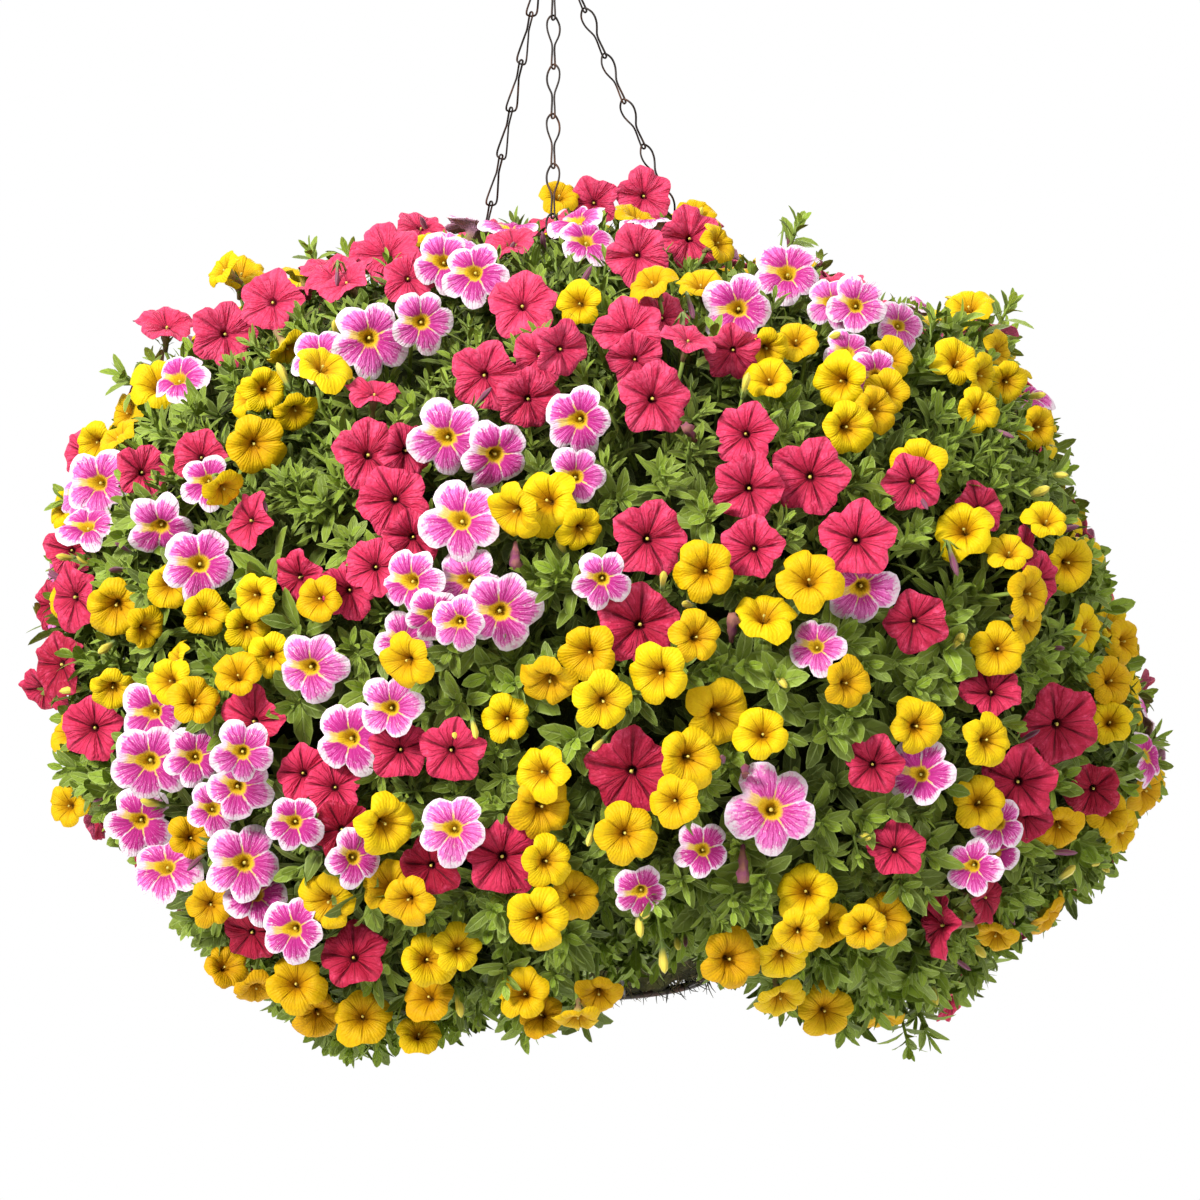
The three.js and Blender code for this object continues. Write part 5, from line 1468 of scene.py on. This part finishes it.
# The plants' stems: how many, the first one's direction in degrees, how far out each stands, how
# thick it is, how deep in the soil, and how high its top is.
PLANTS = {"count": 6, "first": 35, "reach": 88, "radius": 3.4, "depth": 42, "top": 24}


def plant_stems(finish):
    """The plants' woody stems, each standing in the soil."""
    bm = new_shape()
    for i in range(PLANTS["count"]):
        azimuth = PLANTS["first"] + 360 * i / PLANTS["count"]
        path = [in_part(around(PLANTS["reach"], azimuth, height))
                for height in (-SOIL_TOP - PLANTS["depth"], -SOIL_TOP, 4, PLANTS["top"])]
        radii = [PLANTS["radius"] * MM * k for k in (1.0, 1.0, 0.92, 0.85)]
        sweep(bm, path, radii, 9)
    make_piece("plant_stems", bm, [finish],
               [node for quarter in QUARTERS for node in nodes_of(quarter, ("crown",))])


# ---- The hook, the chains and the wire basket -----------------------------------------------------

# The hook: its wire's radius, the arcs of its eye and its bend in degrees, the steps that they are
# drawn in, and how far below the bend's middle its straight part ends.
HOOK = {"wire": 2.0, "eye_arc": (116, 452), "bend_arc": (-36, 216), "step": 14, "shank": 17}


def hanging_hook(finish):
    """One bent wire: an eye for the chains, a straight part and a bend for the bracket."""
    bm = new_shape()
    eye = CHAIN_RISE + EYE_RADIUS
    bend = CHAIN_RISE + HOOK_RISE - BEND_RADIUS - HOOK["wire"]

    def arc(radius, middle, span):
        steps = round((span[1] - span[0]) / HOOK["step"])
        turns = [radians(span[0] + i * HOOK["step"]) for i in range(steps + 1)]
        return [Vector((radius * cos(t), 0, middle + radius * sin(t))) for t in turns]

    points = (arc(EYE_RADIUS, eye, HOOK["eye_arc"]) + [Vector((0, 0, bend - HOOK["shank"]))]
              + arc(BEND_RADIUS, bend, HOOK["bend_arc"]))
    path = [in_part(point) for point in smoothed(points, 3)]
    radii = [HOOK["wire"] * MM] * len(path)
    radii[0] = radii[-1] = HOOK["wire"] * MM * 0.7
    sweep(bm, path, radii, 12)
    make_piece("hanging_hook_wire", bm, [finish], ["hanging_hook"])


# The radius of a link's wire, in millimetres.
LINK_WIRE = 0.62
# How far each link is turned about the chain, to either side by turns, in degrees.
LINK_TURN = 41
# One side of a link from its narrow end to its wide one: how far along its pitch, and how far out,
# in millimetres. The other side mirrors it. The left chain's links widen evenly to a flat end,
# and the others' have a round loop above a doubled tail.
STRAIGHT_LINK = [(-0.045, 0.0), (-0.03, 1.0), (0.03, 1.25), (0.2, 0.95), (0.34, 0.85), (0.42, 1.3),
                 (0.6, 2.3), (0.8, 3.4), (0.94, 3.9), (1.01, 3.3), (1.035, 1.6), (1.04, 0.0)]
ROUND_LINK = [(-0.045, 0.0), (-0.03, 1.0), (0.03, 1.35), (0.18, 1.15), (0.34, 0.85), (0.46, 1.2),
              (0.56, 2.7), (0.68, 4.4), (0.8, 5.0), (0.9, 4.5), (0.98, 3.0), (1.03, 1.4), (1.045, 0.0)]


def chain_ends(name):
    """Where a chain lies in the hook's eye and on the rim, and how many links it has."""
    azimuth, links, shift = CHAINS[name]
    across = sqrt(EYE_RADIUS ** 2 - shift ** 2)
    top = Vector((shift, 0, CHAIN_RISE + EYE_RADIUS - across))
    return top, around(RIM_RADIUS, azimuth, 0), links


def chain_link(bm, narrow, wide, lateral, side):
    """One link of thin wire from its narrow end to its wide one."""
    pitch = wide - narrow
    right = [narrow + pitch * share + lateral * out for share, out in side]
    left = [narrow + pitch * share - lateral * out for share, out in side]
    path = smoothed(right + left[-2:0:-1], 2, closed=True)
    sweep(bm, [in_part(point) for point in path], LINK_WIRE * MM, 6, closed=True)


def hanging_chain(name, finish):
    """A chain's links end to end, turned to one side and the other by turns."""
    bm = new_shape()
    top, foot, links = chain_ends(name)
    along = (foot - top).normalized()
    face = along.cross(view_axes()[0]).normalized()
    edge = face.cross(along).normalized()
    for i in range(links):
        a, b = top.lerp(foot, i / links), top.lerp(foot, (i + 1) / links)
        turn = radians(LINK_TURN if (links - 1 - i) % 2 else -LINK_TURN)
        lateral = face * cos(turn) + edge * sin(turn)
        if name == "chain_left":
            chain_link(bm, a, b, lateral, STRAIGHT_LINK)
        else:
            chain_link(bm, b, a, lateral, ROUND_LINK)
    make_piece(f"{name}_links", bm, [finish], [name])


# The wires' radii in millimetres, each hoop's depth and wire, and the depths that a rib goes through.
END_WIRE = 2.5
MIDDLE_WIRE = 1.5
HOOPS = {0: END_WIRE, 72: MIDDLE_WIRE, 132: MIDDLE_WIRE, BASKET_DEPTH: END_WIRE}
RIB_DEPTHS = (0, 18, 36, 54, 72, 92, 112, 132, 152, 163, 170)
RIB_COUNT = 8


def wire_basket(finish):
    """The rim, two hoops, the base ring and the ribs between them."""
    bm = new_shape()
    for depth, wire in HOOPS.items():
        path = [in_part(around(bowl_radius(depth), 5 * i, -depth)) for i in range(72)]
        sweep(bm, path, wire * MM, 8, closed=True)
    for i in range(RIB_COUNT):
        turn = 360 * i / RIB_COUNT
        path = [in_part(around(bowl_radius(depth), turn, -depth)) for depth in RIB_DEPTHS]
        sweep(bm, path, MIDDLE_WIRE * MM, 8)
    make_piece("wire_basket_frame", bm, [finish], ["wire_basket"])


# ---- The moss and the soil -----------------------------------------------------------------------

def bowl_side(inset, top, bottom, steps):
    """The bowl's side from one depth to another, moved in from the wires and square to them."""
    points = []
    for i in range(steps + 1):
        depth = top + (bottom - top) * i / steps
        slope = Vector((bowl_radius(depth) / RIM_RADIUS ** 2, -depth / BASKET_BOWL ** 2)).normalized()
        points.append((bowl_radius(depth) - slope.x * inset, -depth - slope.y * inset))
    return points


def flat_disc(edge, steps):
    """A flat from the axis out to just short of an edge, as radius and height."""
    return [(edge[0] * i / steps, edge[1]) for i in range(steps)]


def moss_liner(finish):
    """The moss between the wires and the soil, its surface lumpy."""
    bm = new_shape()
    outer = bowl_side(LINER_INSET, LINER_TOP, LINER_LOWEST, 34)
    inner = bowl_side(LINER_INSET + LINER_WALL, LINER_TOP, LINER_LOWEST, 26)
    profile = flat_disc(outer[-1], 8) + outer[::-1] + inner + flat_disc(inner[-1], 6)[::-1]
    spun(bm, profile, 120)
    roughened(bm, 5, 60)
    roughened(bm, 2.5, 190, 5.0)
    make_piece("moss_lining", bm, [finish], ["moss_liner"])


STRAND_SHAPES = 10
# How long the loosest strands are in millimetres, and those near the base, where they would hang
# below the growth.
STRAND_LONGEST = 13
BASE_LONGEST = 8
BASE_BAND = 14


def strand_templates(draw):
    """Curling strands along +Z, one unit long."""
    strands = []
    for v in range(STRAND_SHAPES):
        bm = new_shape()
        bend = draw(0.3, 1.3)
        path = [Vector((bend * s * s * 0.6, 0.25 * bend * sin(3 * s), s))
                for s in (0.0, 0.35, 0.7, 1.0)]
        sweep(bm, path, [0.035, 0.04, 0.03, 0.012], 3)
        strands.append(as_mesh(f"strand_{v}", bm))
    return strands


def moss_strands(finish, count):
    """Loose strands of the moss, standing out between the wires and hanging below."""
    bm = new_shape()
    draw = seeded(97)
    strands = strand_templates(draw)
    for _ in range(count):
        depth = LINER_TOP + (LINER_LOWEST - LINER_TOP) * draw() ** 0.6
        longest = STRAND_LONGEST if depth < LINER_LOWEST - BASE_BAND else BASE_LONGEST
        azimuth = 360 * draw()
        if draw() < 0.3:
            point = around(bowl_radius(LINER_LOWEST) * sqrt(draw()), azimuth, -LINER_LOWEST)
            out = -Z
        else:
            point = around(bowl_radius(depth) - 3, azimuth, -depth)
            rise = -depth / BASKET_BOWL ** 2
            out = Vector((point.x / RIM_RADIUS ** 2, point.y / RIM_RADIUS ** 2, rise)).normalized()
        facing = (out * 0.4 + Vector((draw(-1, 1), draw(-1, 1), draw(-1.0, 0.5)))).normalized()
        if facing.dot(out) < 0.05:
            facing = (facing + out * 0.5).normalized()
        strand = strands[floor(draw(0, STRAND_SHAPES))]
        stamp(bm, strand, stand(point, facing, draw(5, longest), draw(0, 6)), draw())
    make_piece("moss_strands", bm, [finish], ["moss_liner"])


def potting_soil(finish):
    """The soil that fills the moss to just below its edge."""
    bm = new_shape()
    side = bowl_side(LINER_INSET + LINER_WALL + TOUCH_GAP, SOIL_TOP, LINER_LOWEST, 16)
    profile = flat_disc(side[-1], 4) + side[::-1] + flat_disc(side[0], 20)[::-1]
    spun(bm, profile, 96)
    roughened(bm, 3, 90)
    make_piece("soil_fill", bm, [finish], ["potting_soil"])


# ---- The stage: floor, light and the photograph's camera -------------------------------------------

STAGE = {"floor_drop": 1.2, "floor_half": 2.5, "light_above": 1.1, "light_below": 0.12}
# Each soft light: where it stands in metres, how wide it is, and its power in watts.
LIGHTS = {
    "key_light": ((-1.6, -2.2, 1.3), 0.8, 125),
    "fill_light": ((2.2, -1.6, 0.3), 1.8, 10),
    "back_light": ((0.4, 2.4, 1.2), 1.8, 25),
}
# Where the lights point: the height above the rim, in millimetres.
LIT_RISE = 40
CLIP_END = 50


def in_scene(name, data):
    """A new object in the scene."""
    made = bpy.data.objects.new(name, data)
    bpy.context.scene.collection.objects.link(made)
    return made


def floor_piece(finish):
    bm = bmesh.new()
    bmesh.ops.create_grid(bm, x_segments=1, y_segments=1, size=STAGE["floor_half"])
    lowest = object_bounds()[0][2] - STAGE["floor_drop"]
    bmesh.ops.translate(bm, verts=bm.verts[:], vec=(0, 0, lowest))
    mesh = as_mesh("floor", bm)
    mesh.materials.append(finish)
    in_scene("floor", mesh)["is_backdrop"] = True


def soft_light(name, place, size, power):
    """A round light that points at the middle of the growth."""
    light = bpy.data.lights.new(name, "AREA")
    light.shape = "DISK"
    light.size = size
    light.energy = power
    lamp = in_scene(name, light)
    lamp.location = place
    lamp.rotation_euler = (in_part(Z * LIT_RISE) - Vector(place)).to_track_quat("-Z", "Y").to_euler()


class Surroundings(Finish):
    """The world round the stage, made with the same values and nodes as a finish."""

    def __init__(self, name):
        world = bpy.data.worlds.new(name)
        world.use_nodes = True
        self.tree = world.node_tree
        self.surface = self.tree.nodes["Background"]
        bpy.context.scene.world = world


def pale_surroundings():
    """White behind the basket, and a soft light that comes mostly from above."""
    sky = Surroundings("pale_surroundings")
    above, below = STAGE["light_above"], STAGE["light_below"]
    light = sky.height().ramp(-0.5, 0.9) * (above - below) + below
    seen = sky.node("ShaderNodeLightPath")
    sky.set(Color=(1.0, 1.0, 1.0, 1.0), Strength=light + (1.0 - light) * seen)
    bpy.context.scene.view_settings.view_transform = "Standard"


def photograph_camera():
    """The camera of the photograph: level with the basket, a little above, and slightly rolled."""
    to_camera, right, up = view_axes()
    data = bpy.data.cameras.new("photograph_camera")
    data.sensor_fit = "HORIZONTAL"
    data.angle = 2 * atan2(PHOTO_PIXELS / 2 * MM_PER_PIXEL, VIEW["distance"])
    data.clip_end = CLIP_END
    camera = in_scene("photograph_camera", data)
    turn = Matrix((right, up, to_camera)).transposed().to_4x4()
    turn.translation = in_part(AIM + to_camera * VIEW["distance"])
    camera.matrix_world = turn
    bpy.context.scene.camera = camera


def floor_finish(colours):
    f = Finish("pale_floor", colours)
    f.set(Base_Color="floor", Roughness=0.9)
    return f.material


# ---- The add-on: what a user may change, and an operator for each group of pieces --------------------

class BasketSizes(bpy.types.PropertyGroup):
    """How large, how wavy and how shaggy"""
    bloom_scale: FloatProperty(
        name="Bloom size", description="Size of every open bloom against its place in the frame",
        default=1.0, min=0.8, max=1.1, subtype="FACTOR")
    ruffle: FloatProperty(
        name="Ruffle", description="How much the petals' rims wave", default=1.0, min=0.0, max=2.0,
        subtype="FACTOR")
    strands: IntProperty(
        name="Moss strands", description="Loose strands on the moss lining", default=3400, min=0,
        max=6000)


def colour_setting(name, description, default):
    return FloatVectorProperty(name=name, description=description, default=default, subtype="COLOR",
                               size=3, min=0.0, max=1.0)


# What each colour is on, and its value.
COLOURS = {
    # The petunias run from the bright colour to the deep one partly by height: painted light above,
    # painted shade below.
    "petunia_bright": ("Petals of the petunias in the light", (0.7, 0.034, 0.108)),
    "petunia_deep": ("Petals of the deeper petunias", (0.3, 0.004, 0.022)),
    "petunia_edge": ("Paler mottling of the petunias", (0.77, 0.1, 0.21)),
    # The petunias' dark throats, and painted shade in their throats and folds.
    "petunia_throat_and_shade": ("Throats and folds of the petunias", (0.07, 0.003, 0.008)),
    "petunia_back": ("Backs of the petunias' petals", (0.62, 0.1, 0.2)),
    "striped_pink": ("Petals of the striped blooms", (0.78, 0.17, 0.5)),
    # The deeper striped colour is also painted shade on the lower blooms.
    "striped_inner": ("Deeper part of the striped petals", (0.45, 0.018, 0.2)),
    "striped_white": ("Rims and stripes of the striped blooms", (0.84, 0.74, 0.78)),
    "star_yellow": ("Inner star of the striped blooms", (0.86, 0.66, 0.1)),
    "throat_yellow": ("Throats of the striped blooms", (0.82, 0.52, 0.015)),
    "striped_back": ("Backs of the striped petals", (0.7, 0.34, 0.52)),
    "golden": ("Petals of the golden blooms", (0.75, 0.525, 0.003)),
    "golden_shade": ("Deeper parts of the golden petals", (0.58, 0.28, 0.002)),
    "golden_vein": ("Veins of the golden petals", (0.32, 0.11, 0.003)),
    # The throats' dark brown, and painted shade at their bottoms and on one side of the striped ones.
    "throat_brown_and_shade": ("Depths of the throats", (0.1, 0.045, 0.006)),
    "golden_back": ("Backs of the golden petals, and their buds", (0.7, 0.56, 0.05)),
    "stigma": ("Stigmas in the throats", (0.4, 0.38, 0.08)),
    "bud_purple": ("Furled petunia buds", (0.2, 0.035, 0.1)),
    "tube": ("Tubes behind the blooms", (0.4, 0.25, 0.12)),
    "leaf_dark": ("Leaves in the shade", (0.058, 0.082, 0.011)),
    "leaf_mid": ("Most of the leaves", (0.225, 0.305, 0.03)),
    "leaf_young": ("Young leaves", (0.28, 0.4, 0.03)),
    "leaf_pale": ("Midribs and downy edges", (0.42, 0.52, 0.16)),
    "stalk": ("Stalks and sepals", (0.2, 0.28, 0.06)),
    # The near-black of the growth inside is painted shade.
    "core": ("Shaded growth between the blooms", (0.022, 0.026, 0.007)),
    "withered": ("Spent blooms", (0.3, 0.12, 0.08)),
    "moss_green": ("Greener moss", (0.085, 0.085, 0.02)),
    "moss_dark": ("Damp, dark moss", (0.022, 0.02, 0.006)),
    "moss_dry": ("Dry strands of moss", (0.19, 0.135, 0.055)),
    "soil": ("Drier crumbs of the soil", (0.09, 0.055, 0.035)),
    "soil_dark": ("Damp soil", (0.025, 0.015, 0.01)),
    "wire": ("Painted wire", (0.03, 0.022, 0.018)),
    "rust": ("Weathered spots on the wire", (0.12, 0.05, 0.025)),
    "floor": ("The pale floor", (0.97, 0.97, 0.97)),
}


class BasketColours(bpy.types.PropertyGroup):
    """The colours of the blooms, the leaves, the moss, the wire and the floor"""
    __annotations__ = {name: colour_setting(name.replace("_", " ").capitalize(), description, default)
                       for name, (description, default) in COLOURS.items()}


class BasketStep(bpy.types.Operator):
    """One step in building the hanging basket"""
    bl_idname = "basket.step"
    bl_label = "Basket step"
    bl_options = {"INTERNAL"}

    def execute(self, context):
        self.build(context.scene.basket_sizes, context.scene.basket_colours)
        return {"FINISHED"}

    def build(self, sizes, colours):
        raise NotImplementedError(self.bl_idname)


class AddHookAndChains(BasketStep):
    """Add the hook and the three chains of twisted links"""
    bl_idname = "basket.add_hook_and_chains"
    bl_label = "Hook and chains"

    def build(self, sizes, colours):
        wire = wire_finish(colours)
        hanging_hook(wire)
        for name in CHAINS:
            hanging_chain(name, wire)


class AddWireBasket(BasketStep):
    """Add the open wire basket"""
    bl_idname = "basket.add_wire_basket"
    bl_label = "Wire basket"

    def build(self, sizes, colours):
        wire_basket(wire_finish(colours))


class AddMoss(BasketStep):
    """Add the moss lining and its loose strands"""
    bl_idname = "basket.add_moss"
    bl_label = "Moss"

    def build(self, sizes, colours):
        moss_liner(moss_finish(colours))
        moss_strands(strand_finish(colours), sizes.strands)


class AddSoil(BasketStep):
    """Add the potting soil and the plants' stems that stand in it"""
    bl_idname = "basket.add_soil"
    bl_label = "Soil and plant stems"

    def build(self, sizes, colours):
        potting_soil(soil_finish(colours))
        plant_stems(stalk_finish(colours))


class BloomStep(BasketStep):
    """One kind of bloom"""
    bl_idname = "basket.bloom_step"
    kind = None
    petals = None

    def build(self, sizes, colours):
        finishes = [make(colours) for make in (self.petals, stalk_finish, stigma_finish)]
        bloom_pieces(self.kind, finishes, sizes)


class AddPetunias(BloomStep):
    """Add the crimson petunias"""
    bl_idname = "basket.add_petunias"
    bl_label = "Petunias"
    kind = "petunia"
    petals = staticmethod(petunia_finish)


class AddStripedBlooms(BloomStep):
    """Add the pink and white striped blooms"""
    bl_idname = "basket.add_striped_blooms"
    bl_label = "Striped blooms"
    kind = "striped"
    petals = staticmethod(striped_finish)


class AddGoldenBlooms(BloomStep):
    """Add the golden blooms"""
    bl_idname = "basket.add_golden_blooms"
    bl_label = "Golden blooms"
    kind = "golden"
    petals = staticmethod(golden_finish)


class AddBuds(BasketStep):
    """Add the buds and the withered blooms"""
    bl_idname = "basket.add_buds"
    bl_label = "Buds"

    def build(self, sizes, colours):
        bud_pieces([make(colours) for make in (bud_finish, stalk_finish, withered_finish)])


class AddLeaves(BasketStep):
    """Add the leafy shoots"""
    bl_idname = "basket.add_leaves"
    bl_label = "Leaves"

    def build(self, sizes, colours):
        leaf_pieces([leaf_finish(colours), stalk_finish(colours)])


class AddStalks(BasketStep):
    """Add the blooms' stalks and the shaded growth that they come from"""
    bl_idname = "basket.add_stalks"
    bl_label = "Stalks and inner growth"

    def build(self, sizes, colours):
        stalk_pieces([stalk_finish(colours)])
        inner_growth(core_finish(colours))


class AddStage(BasketStep):
    """Add the floor, the light and the photograph's camera"""
    bl_idname = "basket.add_stage"
    bl_label = "Stage"

    def build(self, sizes, colours):
        floor_piece(floor_finish(colours))
        pale_surroundings()
        for name, (place, size, power) in LIGHTS.items():
            soft_light(name, place, size, power)
        photograph_camera()


STEPS = (AddHookAndChains, AddWireBasket, AddMoss, AddSoil, AddPetunias, AddStripedBlooms,
         AddGoldenBlooms, AddBuds, AddLeaves, AddStalks, AddStage)


class BasketPanel(bpy.types.Panel):
    """The basket's steps and settings in the sidebar"""
    bl_idname = "VIEW3D_PT_basket"
    bl_label = "Petunia Hanging Basket"
    bl_space_type = "VIEW_3D"
    bl_region_type = "UI"
    bl_category = "Basket"

    def draw(self, context):
        for group in (context.scene.basket_sizes, context.scene.basket_colours):
            for key in group.bl_rna.properties.keys():
                if key not in {"rna_type", "name"}:
                    self.layout.prop(group, key)
        for step in STEPS:
            self.layout.operator(step.bl_idname)


CLASSES = (BasketSizes, BasketColours, *STEPS, BasketPanel)


def register():
    for cls in CLASSES:
        bpy.utils.register_class(cls)
    bpy.types.Scene.basket_sizes = PointerProperty(type=BasketSizes)
    bpy.types.Scene.basket_colours = PointerProperty(type=BasketColours)


def unregister():
    del bpy.types.Scene.basket_colours
    del bpy.types.Scene.basket_sizes
    for cls in reversed(CLASSES):
        bpy.utils.unregister_class(cls)


def main():
    register()
    for step in STEPS:
        group, name = step.bl_idname.split(".")
        getattr(getattr(bpy.ops, group), name)()


if __name__ == "__main__":
    main()
